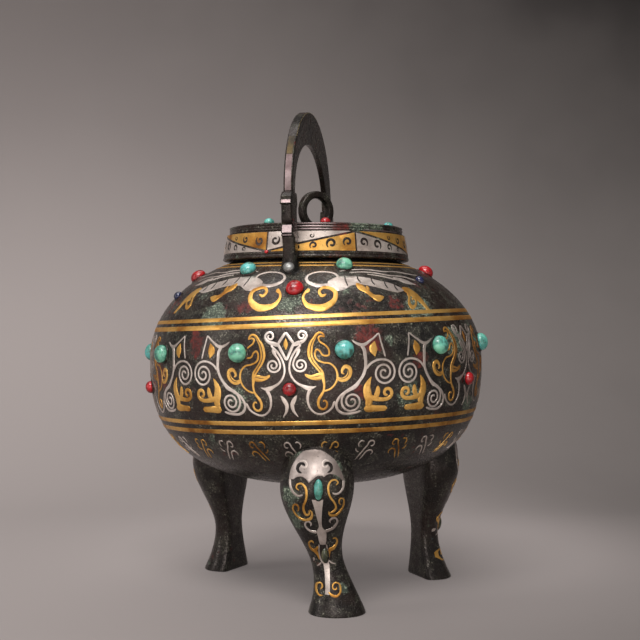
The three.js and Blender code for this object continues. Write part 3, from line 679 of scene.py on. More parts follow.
# Frieze: units between pairs of turquoise beads, and side motifs between the units. Paths
# hold [across, height, width] in mm and are mirrored about the unit's middle.
frieze = {
    "units": [-76.5, -8.7, 59.4, 133, 208.2],
    "tilt": 2,
    "shear": 0.027,
    "halfSpacing": 45,
    "unitSilver": [
        [(0, 13.4, 1.2), (1.6, 11.2, 1.3), (3.2, 8.9, 1.3)],
        [(3.2, 8.9, 1.3), (1.6, 5.6, 1.3), (0, 2.3, 1.1)],
        joined((2.4, 8.3, 1.6), (5.0, 9.0, 2.0), (7.3, 9.9, 1.3), (8.4, 11.2, 1.1),
               curl((6.6, 11.9), (2.0, 0.6), -5, 440, (1.1, 0.8))),
        [(6.2, 8.4, 1.0), (3.6, 5.8, 1.0), (1.9, 3.0, 1.0), (1.1, 0.4, .95), (1.0, -1.8, .95),
         (1.7, -4.2, .95), (3.4, -6.5, 1.0), (5.9, -8.0, 1.4), (8.2, -8.9, 2.1), (10.0, -8.7, 1.0),
         (11.3, -8.2, .3)],
        [(9.0, -9.0, 1.7), (7.8, -11.3, 1.4), (7.5, -14.1, 1.1), (8.2, -16.8, .95), (10.0, -18.8, .9),
         (12.0, -19.5, .9), (14.8, -18.8, .9), (17.0, -17.1, 1.0), (18.3, -14.4, 1.2)],
        joined((5.4, 7.2, 1.3), (4.9, 5.6, 1.6), (4.2, 4.2, 1.1), (3.3, 2.9, .9), (2.8, 1.6, .9),
               curl((5.5, 0.4), (2.9, 0.5), 183, 610, (0.95, 0.85))),
        [(3.3, -11.6, .5), (2.2, -13.2, 1.8), (1.1, -15.6, 1.8), (1.5, -17.9, 1.3), (3.2, -20.4, .3)],
    ],
    "unitGold": [
        joined((15.8, 10.9, .5), (15.2, 12.3, .9), (14.0, 12.9, .9), (12.4, 12.0, 1.2),
               (11.5, 10.6, 1.4), (10.5, 9.2, 2.0), (9.7, 6.7, 2.4), (9.5, 4.2, 2.4), (10.4, 1.7, 2.1),
               (12.1, -0.7, 1.9), (13.6, -2.8, 2.0), (14.1, -5.2, 1.5), (14.4, -7.7, 1.0),
               (14.0, -10.2, 1.0), (13.2, -11.6, 1.2), (12.0, -13.4, 1.3), (11.6, -15.5, 1.2),
               (12.3, -17.1, 1.1), (13.7, -17.5, 1.0), (15.0, -16.4, 1.0), (15.0, -14.7, .9),
               (14.0, -14.0, .8), (13.5, -14.6, .6)),
        [(15.6, 10.9, .5), (14.6, 11.5, .75), (13.3, 10.9, .9), (13.7, 9.4, .8), (15.6, 8.0, .8),
         (17.1, 6.0, .8), (16.9, 3.9, .8), (14.6, 3.9, .8), (13.3, 5.8, .8), (12.3, 6.3, .85),
         (11.5, 4.8, .9), (12.1, 2.4, .85), (14.4, 1.1, .8), (17.3, 0.5, .8), (19.2, -1.4, .85),
         (19.9, -4.4, .95), (18.9, -7.4, .85), (16.9, -9.4, .8), (14.2, -10.4, .9)],
        [(14.0, -4.2, 3.4), (11.6, -4.6, 3.0), (9.5, -4.6, 2.0), (7.9, -4.0, 1.4), (7.0, -3.3, 1.1)],
        joined((19.6, -5.2, 1.6), (21.4, -6.1, 2.0), (23.6, -5.4, 2.3), (24.9, -3.4, 2.2),
               (24.7, -1.5, 2.0), (23.3, -0.8, 1.7), (22.0, -2.0, 1.3), (21.8, -3.3, 1.0),
               (22.7, -3.9, .7)),
    ],
    "unitDark": [
        [(12.3, 11.6, .2), (10.7, 9.3, .35), (9.8, 6.7, .4), (9.6, 4.2, .4), (10.5, 1.6, .4),
         (12.3, -0.9, .4), (13.6, -2.9, .3)],
        [(13.4, -4.0, .2), (11.5, -4.4, .35), (9.4, -4.6, .2)],
        [(21.0, -5.9, .2), (23.2, -5.2, .35), (24.4, -3.2, .35), (24.0, -1.7, .2)],
    ],
    "unitGoldOnce": [
        [(0, 11, .2), (0, 8.8, 2.1), (0, 6.4, .2)],
    ],
    "sideTilt": 1,
    "sideLevel": 101.5,
    "sideShift": 0.65,
    "sideSilver": [
        [(7.1, 12.9, .7), (6.7, 9.9, .8), (5.9, 6.4, .9), (5.2, 3.4, .8)],
        joined((13.6, -1.2, 1.2), (11.4, 1.0, 1.0), (8.6, 2.2, 1.0),
               curl((5.8, -2.9), (5.2, 0.6), 95, 800, (1.0, 0.95))),
        [(7.1, 12.9, .7), (10.6, 10.4, .9), (15.0, 8.3, 1.5), (17.2, 9.0, 1.1), (19.2, 10.4, .5)],
        joined((15.3, 8.5, 1.7), (14.1, 6.2, 1.7), (13.9, 4.0, 1.6), (13.7, 1.6, 1.5), (13.8, -0.8, 1.5),
               (14.8, -3.6, 1.4), (16.4, -6.0, 1.4), (18.3, -8.1, 1.9), (21.6, -9.8, 1.3),
               (24.9, -12.6, 1.2), (25.9, -15.0, 1.2), (25.3, -17.2, 1.2), (23.4, -18.6, 1.2),
               (20.0, -18.9, 1.1), (17.0, -18.4, 1.0), (15.6, -17.9, .8)),
        joined((18.3, -8.1, 1.2), curl((19.5, -14.1), (4.6, 0.7), 75, -760, (1.0, 0.9))),
    ],
    "sideGold": [
        [(9.4, 9.7, .3), (10.2, 6.6, 4.0), (9.6, 3.6, .3)],
        [(11.4, -4.4, .3), (12.4, -6.2, 1.8), (13.2, -8.6, 3.3), (12.9, -11.4, 3.9), (12.2, -13.8, 3.5),
         (12.7, -16.6, 3.2)],
        joined((12.4, -12.4, 2.6), (9.6, -13.2, 2.3), (7.0, -13.6, 1.9),
               curl((4.4, -11.0), (2.4, 0.8), -95, -380, (1.8, 1.2))),
        [(8.5, -8.1, 1.4), (8.6, -10.2, 2.4), (9.4, -12.8, 2.6)],
        [(4.1, -17.3, 2.5), (8.4, -17.2, 2.8), (12.7, -17.1, 3.4), (14.3, -17.2, 2.8)],
    ],
}


def makeFrieze():
    made = {"Dark": [], "Silver": [], "Gold": []}
    unit = {metal: frieze["unit" + metal] for metal in made}
    side = {metal: frieze["side" + metal] for metal in ("Silver", "Gold")}
    units = frieze["units"]
    for azimuth, following in zip(units, units[1:] + [units[0] + 360]):
        upright = sideSurface(azimuth, belly["level"], frieze["tilt"])

        def unitSurface(across, along):
            return upright(across - along * frieze["shear"], along)

        between = (azimuth + following) / 2 + np.degrees(frieze["sideShift"] / belly["radius"])
        between = sideSurface(between, frieze["sideLevel"], frieze["sideTilt"])
        squeeze = np.radians(following - azimuth) / 2 * belly["radius"] / frieze["halfSpacing"]
        for mirror in (1, -1):
            lay(made, unitSurface, unit, mirror=mirror)
            lay(made, between, side, (squeeze, 1, 1), mirror)
        lay(made, unitSurface, {"Gold": frieze["unitGoldOnce"]})
    finishInlay("frieze", made)


makeFrieze()
print("frieze made")

# Shoulder: a pair of long feathered forms with claws on each side of the low coral bead, in
# front and again behind. Paths hold [across, ring radius, width].
shoulder = {
    "azimuth": -8.6,
    "oval": {"centre": (11.0, 55.3), "halves": (6.5, 4.2), "widths": (1.9, 0.9)},
    "wing": {"upper": [(13.6, 57.4), (15.2, 55.6), (16.9, 54.6), (19, 53.6), (22, 53.9), (27, 54.3),
                       (31, 55.1), (34.7, 56.3), (41.5, 57.8), (45.5, 59.6), (48.5, 61.2)],
             "lower": [(13.6, 59.4), (15.6, 61.2), (18.5, 62.2), (21, 61.8), (24, 59.6), (27, 59.0),
                       (31, 59.5), (34.7, 60.2), (41.5, 62.0), (45.5, 62.6), (48.5, 61.8)]},
    "cuts": [21.4, 26.8, 33.2, 39.6, 44.6],
    "gold": [
        joined((6.0, 61.0, 0.9), (6.3, 61.6, 2.0), (5.2, 62.8, 1.2), (4.7, 64.4, 1.2), (6.0, 66.6, 1.6),
               (10, 67.8, 2.1), (14.6, 67.4, 2.5), (17.6, 65.2, 2.4), (17.4, 62.4, 2.0),
               (14.8, 60.7, 1.7), (12.0, 60.6, 1.5), (10.9, 62.2, 1.4), (12.2, 64.0, 1.2),
               (14.0, 63.4, 0.9)),
        [(25.6, 58.2, 1.6), (28, 60.2, 3.0), (30.6, 61.9, 2.0), (33.4, 63.9, 1.6), (37, 64.7, 2.6),
         (38.6, 64.3, 0.8)],
        [(30.2, 59.4, 0.4), (31.2, 61.4, 1.6), (30.4, 62.8, 0.5)],
        [(47.5, 60.4, 1.6), (50.5, 61.4, 3.0), (54, 63.2, 3.2), (58, 65.6, 2.2), (61.5, 68.0, 1.2),
         (64, 69.2, 0.6)],
        joined((50.5, 62.0, 2.2), (51.3, 64.0, 1.4), curl((53.4, 65.6), (2.4, 0.6), 160, -330, (1.5, 0.9))),
    ],
    "fine": [
        [(17.5, 50.6, .5), (24, 49.2, .8), (31, 49.2, .9), (38, 50.4, .8), (45, 50.2, .8),
         (52, 51.5, .8), (60, 52.5, .7)],
        [(22, 51.6, .5), (28, 51.0, .8), (34, 51.6, .9), (41, 53.2, .9), (48, 53.6, .8), (57, 56.0, .6)],
        [(30, 52.6, .5), (37, 53.8, .8), (44, 55.6, .9), (50, 56.6, .8), (56, 58.6, .5)],
        [(43, 54.4, .6), (46, 55.4, 1.8), (50, 56.8, 2.6), (54, 58.2, 1.0)],
    ],
}


def makeShoulder():
    made = {"Silver": [], "Gold": [], "Cuts": []}
    oval, wing = shoulder["oval"], shoulder["wing"]
    turn = np.radians(np.linspace(60, 420, 26))
    ovalPath = stacked(oval["centre"][0] + oval["halves"][0] * np.cos(turn),
                       oval["centre"][1] + oval["halves"][1] * np.sin(turn),
                       np.interp(np.sin(turn), [-1, 1], oval["widths"][::-1]))
    paths = {"Silver": [ovalPath] + shoulder["fine"], "Gold": shoulder["gold"]}
    at = np.linspace(13.6, 48.5, 44)
    upper, lower = (stacked(at, -readLine(wing[edge], at)) for edge in ("upper", "lower"))
    for half in (0, 180):
        surface = shoulderSurface(shoulder["azimuth"] + half)
        for mirror in (1, -1):
            made["Silver"].append(plate(surface, upper * [mirror, 1], lower * [mirror, 1], 8))
            for cut in shoulder["cuts"]:
                top, low = readLine(wing["upper"], cut - 1), readLine(wing["lower"], cut + 1)
                path = [(cut - 1.3, 0.2 - top, .5), (cut - 0.6, -0.6 * top - 0.4 * low, .8),
                        (cut + 0.9, 0.9 - low, .6)]
                made["Cuts"].append(strip(surface, path, 0.06, mirror))
            lay(made, surface, paths, (1, -1, 1), mirror)
    finishInlay("shoulder", made)


makeShoulder()

# Hooks: a ring of plain slanting scrolls low on the belly, silver and gold in turn
hooks = {
    "level": 67.2,
    "count": 28,
    "start": 5,
    "paths": [
        joined((-3.6, -4.4, .4), (-2.2, -2.3, .7), (-0.6, 0.2, .75), (0.8, 2.4, .75),
               curl((2.6, 2.3), (1.8, 0.7), 170, -300, (.75, .55))),
        [(-1.5, -4.6, .4), (-0.3, -2.7, .7), (1.0, -0.8, .7), (3.2, -0.4, .7), (4.2, -1.5, .55),
         (3.5, -2.4, .4)],
        [(-3.2, 1.2, .5), (-3.7, 2.7, .7), (-2.7, 3.9, .7), (-1.2, 3.7, .5)],
        [(-2.9, -0.8, .4), (-4.2, -0.3, .6), (-4.7, 0.9, .4)],
    ],
}


def makeHooks():
    made = {"Silver": [], "Gold": []}
    for i in range(hooks["count"]):
        surface = sideSurface(hooks["start"] + i * 360 / hooks["count"], hooks["level"], 1)
        made["Silver" if i % 2 else "Gold"] += [strip(surface, path, mirror=1 if i % 4 < 2 else -1)
                                                for path in hooks["paths"]]
    finishInlay("hooks", made)


makeHooks()
print("shoulder made")

# Lid: a cap with a tapering inlay band, a stepped rim with three low ribs and a crowned top
lid = {
    "radius": 42.3, "bottom": float(domeHeight(42.3)) + 2, "wall": 2.6,
    "bandHeight": 11.6, "taper": 1.9,
    "stepInset": 1.5, "stepHeight": 3.6,
    "ribRise": 0.35, "ribSpacing": 1.22, "ribStart": 0.65,
    "plate": 3.4, "crown": 0.5, "steps": 180,
}
lidBandTop = lid["bottom"] + lid["bandHeight"]
lidStepTop = lidBandTop + lid["stepHeight"]
lidStepRadius = lid["radius"] - lid["taper"] - lid["stepInset"]
lidCeiling = lidStepTop - lid["plate"]


# The band narrows evenly with the height above its foot
def coneRadius(along):
    return lid["radius"] - lid["taper"] * along / lid["bandHeight"]


# The step's ribs: an absolute cosine of the height above the band
def ribRadius(along):
    wave = np.cos(np.pi * (along - lid["ribStart"]) / lid["ribSpacing"])
    return lidStepRadius + 0.1 + lid["ribRise"] * np.abs(wave)


# The lid's band is a cone; across runs round it in mm, along is the height above its foot
def lidBandSurface(azimuth):
    def place(across, along):
        return onRing(np.radians(azimuth) + across / lid["radius"], coneRadius(along), lid["bottom"] + along)
    return place


# The ribbed step above the band: along is the height above the band's top
def stepSurface(across, along):
    return onRing(across / lid["radius"], ribRadius(along), lidBandTop + along)


# The profile goes from the ceiling's middle down the inside, round the foot, up the band and
# the step, and over the crowned top: a parabola that ends on the axis
def makeLid():
    inside = coneRadius(lidCeiling - lid["bottom"]) - lid["wall"]
    step, low = lidStepRadius, lid["bottom"]
    turn = np.linspace(0, np.pi / 2, 5)
    footRound = stacked(lid["radius"] - 0.9 + 0.9 * np.sin(turn), low + 0.9 - 0.9 * np.cos(turn))
    crownAt = np.linspace(step - 0.9, 0, 12)
    crownLine = stacked(crownAt, lidStepTop + lid["crown"] * (1 - (crownAt / step) ** 2))
    # A fine groove above the foot, the band, and its rounded upper edge
    bandAt = np.array([1.5, 1.7, 2.0, 11.1, 11.45, 11.6])
    band = stacked(coneRadius(bandAt) - [0, 0.25, 0, 0, 0, 0.15], low + bandAt)
    ribAt = np.linspace(0.1, lid["stepHeight"] - 0.3, 24)
    profile = np.concatenate([
        [[0, lidCeiling], [inside - 0.4, lidCeiling], [inside, lidCeiling - 0.4],
         [lid["radius"] - lid["wall"], low]],
        footRound, band, stacked(ribRadius(ribAt), lidBandTop + ribAt),
        [[step - 0.2, lidStepTop - 0.12], [step - 0.5, lidStepTop]], crownLine])
    addPiece("lidCap", [turned(profile, lid["steps"])], lidBronze, body="lid", stands=["lid"])


makeLid()

# Lid band: a zigzag line parts it into triangles, each half gold and half silver, with dark
# scrolls that shrink away from the line in its middle. Its pale rings have a lower and an upper
# height on the step, and a first and a last azimuth.
lidBand = {
    "corners": [-84, -30.2, 24.5, 79, 144.7, 210.3],
    "beadCorners": [-30.2, 210.3],
    "low": 2.8,
    "high": 11.5,
    "line": 0.3,
    "upperScrolls": [(4.1, 2.25), (13.0, 1.8), (20.6, 1.15)],
    "lowerScrolls": [(3.9, 2.2), (11.2, 2.4), (19.0, 1.8), (26.0, 1.3)],
    "steps": [(0.25, 1.1, -12, 12), (1.5, 2.3, -14, 13), (2.7, 3.35, -12, 14), (0.25, 1.0, 30, 66),
              (1.5, 2.2, 70, 160), (2.7, 3.3, 95, 180), (0.3, 1.0, 190, 262), (2.7, 3.3, 200, 240)],
    "bead": 0.95,
}


def makeLidBand():
    made = {"Gold": [], "Rings": [], "Silver": [], "Scrolls": [], "Beads": []}
    low, high, line, corners = (lidBand[key] for key in ("low", "high", "line", "corners"))
    gaps = np.diff(corners + [corners[0] + 360])
    share = np.linspace(0, 1, 15)
    for i, middle in enumerate(corners):
        # The plates of a valley hang from the upper edge, those of a peak stand on the lower one
        sign, edge, scrolls = (1, high, "upperScrolls") if i % 2 else (-1, low, "lowerScrolls")
        surface = lidBandSurface(middle)
        angle = np.radians(sign * (50 - 385 * share))
        for mirror in (1, -1):
            length = np.radians(gaps[i if mirror > 0 else i - 1]) * lid["radius"]
            at = np.linspace(line, length - 2.2, 30)
            zigzag = edge - sign * ((high - low) * (1 - at / length) - line)
            made["Gold" if mirror < 0 else "Silver"].append(
                plate(surface, stacked(at * mirror, zigzag), stacked(at * mirror, edge), 5))
            for reach, size in lidBand[scrolls]:
                centre = edge - sign * (high - low) * (1 - reach / length) / 2
                radius = size * (0.95 - 0.72 * share)
                width = size * np.interp(share, [0, .2, .5, .8, 1], [.2, .6, .62, .5, .62])
                comma = stacked(reach + radius * np.cos(angle), centre + radius * np.sin(angle), width)
                made["Scrolls"].append(strip(surface, comma, 0.07, mirror, 0.35))
    for bottom, top, start, end in lidBand["steps"]:
        at = np.linspace(start, end, max(8, int((end - start) / 3)))
        width = (top - bottom) * (1 - 0.25 * np.sin(at * 0.21) ** 2)
        path = stacked(np.radians(at) * lid["radius"], (bottom + top) / 2, width)
        made["Rings"].append(strip(stepSurface, path, step=2))
    turn = np.linspace(0, np.pi / 2, 6)[:-1]
    angle = np.arange(16) / 16 * 2 * np.pi
    reach = lidBand["bead"] * np.concatenate([[1], np.cos(turn)])[:, None]
    rise = np.concatenate([[-0.3], 0.1 + 0.5 * np.sin(turn)])[:, None]
    for azimuth in lidBand["beadCorners"]:
        made["Beads"].append(skinned(raised(lidBandSurface(azimuth), reach * np.cos(angle),
                                            low - 0.1 + reach * np.sin(angle) * 0.8, rise)))
    finishInlay("lid", made, "lid")


makeLidBand()


# Turns points about one axis through the origin
def rotated(points, degrees, axis):
    c, s = np.cos(np.radians(degrees)), np.sin(np.radians(degrees))
    first, second = {"x": (1, 2), "z": (0, 1)}[axis]
    moved = np.array(points, float)
    moved[..., first] = points[..., first] * c - points[..., second] * s
    moved[..., second] = points[..., first] * s + points[..., second] * c
    return moved


# A rounded rectangle, anticlockwise, with the given half sizes and corner radius
def roundedRectangle(halfX, halfY, corner):
    angle = np.linspace(0, np.pi / 2, 5) + np.arange(4)[:, None] * np.pi / 2
    sides = np.array([(1, 1), (-1, 1), (-1, -1), (1, -1)])[:, None] * [halfX - corner, halfY - corner]
    return (sides + corner * stacked(np.cos(angle), np.sin(angle))).reshape(-1, 2)


# An outline set at a level
def atLevel(outline, level):
    return np.column_stack([outline, np.full(len(outline), level)])


# Ring knob: a ring with rounded edges, standing upright on a small foot in the lid's top. The
# foot narrows up into the ring: its width and its thickness there are shares.
knob = {"radius": 9.1, "bar": 3.3, "thickness": 4, "sink": 1.5, "turn": 35, "bevel": 1.1, "wear": 0.03,
        "footWidth": 8, "footSink": 1.0, "footShares": [(1, 1), (1, 1), (0.92, 0.94), (0.72, 0.86)]}


def makeKnob():
    floorLevel = lidStepTop + lid["crown"]
    centre = floorLevel + knob["radius"] - knob["sink"]
    section = roundedRectangle(knob["bar"] / 2, knob["thickness"] / 2, knob["bevel"])
    angle = np.arange(72)[:, None] / 72 * 2 * np.pi
    # The bar is a little thinner in two places, as cast and worn
    wear = 1 - knob["wear"] * (1 + np.sin(angle * 2 + 0.7)) / 2
    reach = knob["radius"] - knob["bar"] / 2 + section[:, 0] * wear
    ring = stacked(reach * np.cos(angle), section[:, 1] * wear, reach * np.sin(angle) + centre)
    levels = [floorLevel - knob["footSink"], floorLevel + 0.3, floorLevel + 1.2,
              centre - knob["radius"] + knob["bar"] * 0.7]
    half = np.array([knob["footWidth"], knob["thickness"]]) / 2
    foot = np.stack([atLevel(roundedRectangle(*half * share, 0.7), level)
                     for share, level in zip(knob["footShares"], levels)])
    shells = [looped(rotated(ring, knob["turn"], "z")), skinned(rotated(foot, knob["turn"], "z"))]
    addPiece("knobRing", shells, handleBronze, body="lid", stands=["ring_knob"])


makeKnob()
print("lid made")

# Handle: a crescent bail in one upright plane on two stepped posts
handle = {
    "turn": -9.4, "lean": 0.4, "shift": 2.8,
    "postHeight": 34.1,
    "halfSpan": 52, "outerRise": 40.34,
    "bar": 10, "crownDepth": 14.6,
    "outerEdge": 3.9, "innerEdge": 2.5, "bevel": 0.5,
    "wearAndGlintEdge": 0.25,
    "faceInlayAndHighlight": [("bailHighlightSilver", ringSilver, "silver", 0.3, 23), ("bailGold", tornGold, "gold", 23.2, 37)],
}
shoulderLevel = float(domeHeight(handle["halfSpan"]))
bailSpring = shoulderLevel + handle["postHeight"]


# Points in the handle's plane (X out along it, Y across, Z up) to their place on the vessel
def onHandle(points, back=False):
    side = -1 if back else 1
    leaning = rotated(points - [0, 0, shoulderLevel], side * handle["lean"], "x")
    return rotated(leaning + [0, -side * handle["shift"], shoulderLevel], handle["turn"] - side * 90, "z")


# Each section runs from the outer half ellipse in to the inner one, with rounded corners
def makeBail():
    span, rise = handle["halfSpan"], handle["outerRise"]
    angle = np.linspace(0, np.pi, 97)[:, None]
    outer = stacked(span * np.cos(angle), rise * np.sin(angle))
    inner = stacked((span - handle["bar"]) * np.cos(angle), (rise - handle["crownDepth"]) * np.sin(angle))
    depth = np.linalg.norm(outer - inner, axis=-1)
    corner, turn = handle["bevel"], np.linspace(0, np.pi / 2, 5)
    thick, thin = handle["outerEdge"] / 2, handle["innerEdge"] / 2
    # Down one side: share of the way in, and half the thickness there
    share = np.concatenate([corner * (1 - np.cos(turn)) / depth, np.full_like(depth, 0.4),
                            np.full_like(depth, 0.75), 1 - corner * (1 - np.sin(turn)) / depth], 1)
    half = np.concatenate([thick - corner * (1 - np.sin(turn)), [thick - 0.35, thin + 0.15],
                           thin - corner * (1 - np.cos(turn))])
    share = np.concatenate([share, share[:, ::-1]], 1)[..., None]
    spots = outer * (1 - share) + inner * share
    rings = stacked(spots[..., 0], np.concatenate([half, -half[::-1]]), spots[..., 1] + bailSpring)
    addPiece("bailCrescent", [skinned(onHandle(rings))], handleBronze, stands=["handle_bail"])
    # A pale gold line along the crown's right outer edge: partly wear, partly a painted glint
    around = np.radians(np.arange(6) * 60)
    edge = rings[20:-20, 2][:, None]
    inward = (np.array([0, 0, bailSpring]) - edge) * [1, 0, 1]
    inward /= np.linalg.norm(inward, axis=-1, keepdims=True)
    size = handle["wearAndGlintEdge"]
    tube = edge + inward * (0.2 - size * np.cos(around))[:, None]
    tube[..., 1] += size * np.sin(around) - 0.1
    addPiece("bailEdges", [skinned(onHandle(tube))], wearAndGlintEdge)
    # Silver plates that paint the highlight on the outer face near both ends, and torn gold above them
    deep = np.array([-0.2, 0.1, 0.1, -0.2])
    across = np.array([-1, -0.9, 0.9, 1]) * (thick - 0.55)
    for name, finish, slotName, first, last in handle["faceInlayAndHighlight"]:
        made = []
        for start, end in ((first, last), (180 - last, 180 - first)):
            turn = np.radians(np.linspace(start, end, 18))[:, None]
            made.append(skinned(onHandle(stacked((span + deep) * np.cos(turn), across,
                                                 (rise + deep) * np.sin(turn) + bailSpring))))
        addPiece(name, made, finish)


makeBail()

# Post: rounded sections from the flared foot to the ledge under the bail. Each row holds a
# level from the shoulder or from the top, how far it reaches beyond the bail's outer face,
# how far it stays back from the inner side, its thickness and its corners' radius.
post = {
    "inner": 43.2,
    "foot": [(-3.5, 0.3, -1, 9.6, 4.3), (0.2, 0.2, -1, 9.4, 4.3), (1.5, -0.2, -0.7, 8.8, 4.0),
             (2.9, -0.8, -0.4, 7.9, 3.4), (4.4, -1.2, -0.1, 6.9, 2.8), (6.2, -1.1, 0, 6.1, 2.2),
             (8.2, -0.8, 0, 5.6, 1.6), (10.5, -0.5, 0, 5.3, 1.3)],
    "shaft": [(-18.8, 0.2, 0, 5.0, 1.2), (-18.4, 2.6, 0, 4.6, .7), (-17.8, 2.5, 0, 4.5, .6),
              (-17.7, 2.2, 0, 4.4, .6), (-17.45, 2.2, 0, 4.4, .6), (-17.35, 3.4, 0, 4.4, .6),
              (-13.9, 2.4, 0, 4.2, .6), (-13.6, 2.2, 0, 4.2, .8), (-12.9, 3.0, 0, 4.2, .8),
              (-11.4, 3.6, 0, 4.1, .8), (-9.6, 3.6, 0, 4.0, .8), (-7.8, 3.7, 0, 4.0, .8),
              (-5.8, 3.8, 0, 4.1, .8), (-5.5, 5.2, 0, 4.3, .5), (-5.3, 5.4, 0, 4.3, .5),
              (-3.6, 4.7, 0, 4.3, .5), (-3.4, 4.4, 0, 4.2, .6), (-2.3, 4.6, 0, 4.2, .6),
              (-1.4, 3.4, 0, 4.1, .8), (-0.4, 2.2, 0, 4.0, .8), (0, 1.4, 0, 3.6, .8)],
    # Pale silver plates that paint highlights on the posts' upward-facing faces: lower and upper level, how
    # far they reach beyond there, half the width
    "highlightPlates": [(-17.2, -14.1, 3.4, 2.5, 1.95), (-18.4, -17.85, 2.6, 2.5, 1.9),
               (-5.1, -3.75, 5.35, 4.75, 1.95)],
    "gap": 0.3,
    "thicker": 1.13,
    "root": 1.4,
    "rivet": {"radius": 2.4, "height": 1.6, "beyond": -0.6, "rise": 2.5, "steep": 0.75},
}


# Rounded rectangles at rising levels joined into one shell
def makePost(name, back):
    rows = [(shoulderLevel + level, *rest) for level, *rest in post["foot"]]
    rows += [(bailSpring - post["gap"] + level, beyond, near, thickness * post["thicker"], corner)
             for level, beyond, near, thickness, corner in post["shaft"]]
    rings = []
    for level, beyond, near, thickness, corner in rows:
        far, inner = handle["halfSpan"] + beyond, post["inner"] + near
        section = roundedRectangle((far - inner) / 2, thickness / 2, corner)
        rings.append(atLevel(section + [(far + inner) / 2, 0], level))
    points, faces = skinned(onHandle(np.stack(rings), back))
    # Under the belly's outer face the foot stays within its wall
    ring = np.minimum(np.hypot(points[:, 0], points[:, 1]), belly["radius"] - post["root"] - 0.1)
    points[:, 2] = np.maximum(points[:, 2], domeHeight(ring, -post["root"]))
    addPiece("post" + name, [(points, faces)], handleBronze, stands=["handle_post_" + name.lower()],
             sharpAngle=35)


# A low dome on the post's foot, with a little dent in its top
def makeRivet(name, back):
    rivet = post["rivet"]
    seat = np.array([handle["halfSpan"] + rivet["beyond"], 0, shoulderLevel + rivet["rise"]])
    out = np.array([1, 0, rivet["steep"]]) / np.hypot(1, rivet["steep"])
    across, up = np.array([0, 1.0, 0]), np.cross(out, [0, 1.0, 0])
    turn = np.linspace(0, np.pi / 2, 8)[:-1]
    reach = rivet["radius"] * np.concatenate([[0.9], np.cos(turn), [0.12]])[:, None, None]
    rise = np.concatenate([[-1.6], rivet["height"] * np.sin(turn), [rivet["height"] - 0.08]])
    angle = np.arange(28)[::-1, None] / 28 * 2 * np.pi
    rings = seat + reach * (np.cos(angle) * up + np.sin(angle) * across) + rise[:, None, None] * out
    addPiece("rivet" + name, [skinned(onHandle(rings, back))], greyMetal,
             stands=["post_rivet_" + name.lower()], sharpAngle=60)


# Thin pale plates on the posts' outer faces, straight between a lower and an upper edge: painted highlights
# where those faces tilt up towards the light
def makeHighlightPlates(back):
    made = []
    for low, high, lowReach, highReach, half in post["highlightPlates"]:
        rings = []
        for level, beyond in ((low, lowReach), (high, highReach)):
            far, near = handle["halfSpan"] + beyond + 0.1, handle["halfSpan"] + beyond - 0.5
            rings.append(atLevel([(far, -half), (far, half), (near, half), (near, -half)],
                                 bailSpring - post["gap"] + level))
        made.append(skinned(onHandle(np.stack(rings), back)))
    return made


addPiece("postHighlightPlates", makeHighlightPlates(False) + makeHighlightPlates(True), ringSilver)
for makeOne in (makePost, makeRivet):
    makeOne("Front", False)
    makeOne("Back", True)
print("handle made")

# Legs: rounded outer face, flat inner face, hoof below. Values are at the hoof, the ankle,
# the knee and the top.
leg = {
    "top": 74, "kneeLevel": 52, "ankleLevel": 20.5,
    "width": (24.2, 13.6, 30.4, 20.1),
    "depth": (16.5, 10.4, 21.5, 21.5),
    "reach": (66.0, 59.6, 69.2, 65.2),
    "bow": 0.62,
    "each": {
        "front_leg": {"azimuth": 1, "foot": 8, "turn": 2, "sway": -1.5},
        "right_leg": {"azimuth": 108, "foot": 0, "turn": 5, "sway": 0},
        "left_leg": {"azimuth": -125, "foot": -3.6, "turn": 7, "sway": 0},
    },
}


# From 0 to 1 with no slope at either end
def eased(t):
    return t * t * (3 - 2 * t)


# Hoof to ankle by a power, ankle to knee by an ease curve, knee to top by a power
def alongLeg(measure, level):
    hoof, ankle, knee, top = leg[measure]
    ankleLevel, kneeLevel = leg["ankleLevel"], leg["kneeLevel"]
    low = ankle + (hoof - ankle) * np.clip(1 - level / ankleLevel, 0, 1) ** 1.7
    middle = ankle + (knee - ankle) * eased(np.clip((level - ankleLevel) / (kneeLevel - ankleLevel), 0, 1))
    high = knee + (top - knee) * np.clip((level - kneeLevel) / (leg["top"] - kneeLevel), 0, 1) ** 1.8
    return np.where(level <= ankleLevel, low, np.where(level <= kneeLevel, middle, high))


# The shank's small bend to one side, greatest just above the ankle
def legSway(level, one):
    return one["sway"] * np.exp(-((level - 29) / 17) ** 2)


# Places given as distance out from the axis, distance across and level, on one leg
def onLeg(out, across, level, one):
    pivot = alongLeg("reach", level) - alongLeg("depth", level) / 2
    c, s = np.cos(np.radians(one["turn"])), np.sin(np.radians(one["turn"]))
    inFoot = 1 - eased(np.clip(level / leg["kneeLevel"], 0, 1))
    x = (out - pivot) * s + across * c + one["foot"] * inFoot + legSway(level, one)
    y = -(pivot + (out - pivot) * c - across * s)
    return rotated(stacked(x, y, level), one["azimuth"], "z")


# The bowed outer face: across is measured from the leg's middle, along is the level
def legSurface(one):
    def place(across, along):
        bow = alongLeg("depth", along) * leg["bow"]
        lean = np.clip(across / alongLeg("width", along) * 2, -0.995, 0.995)
        return onLeg(alongLeg("reach", along) - bow * (1 - np.sqrt(1 - lean ** 2)), across, along, one)
    return place


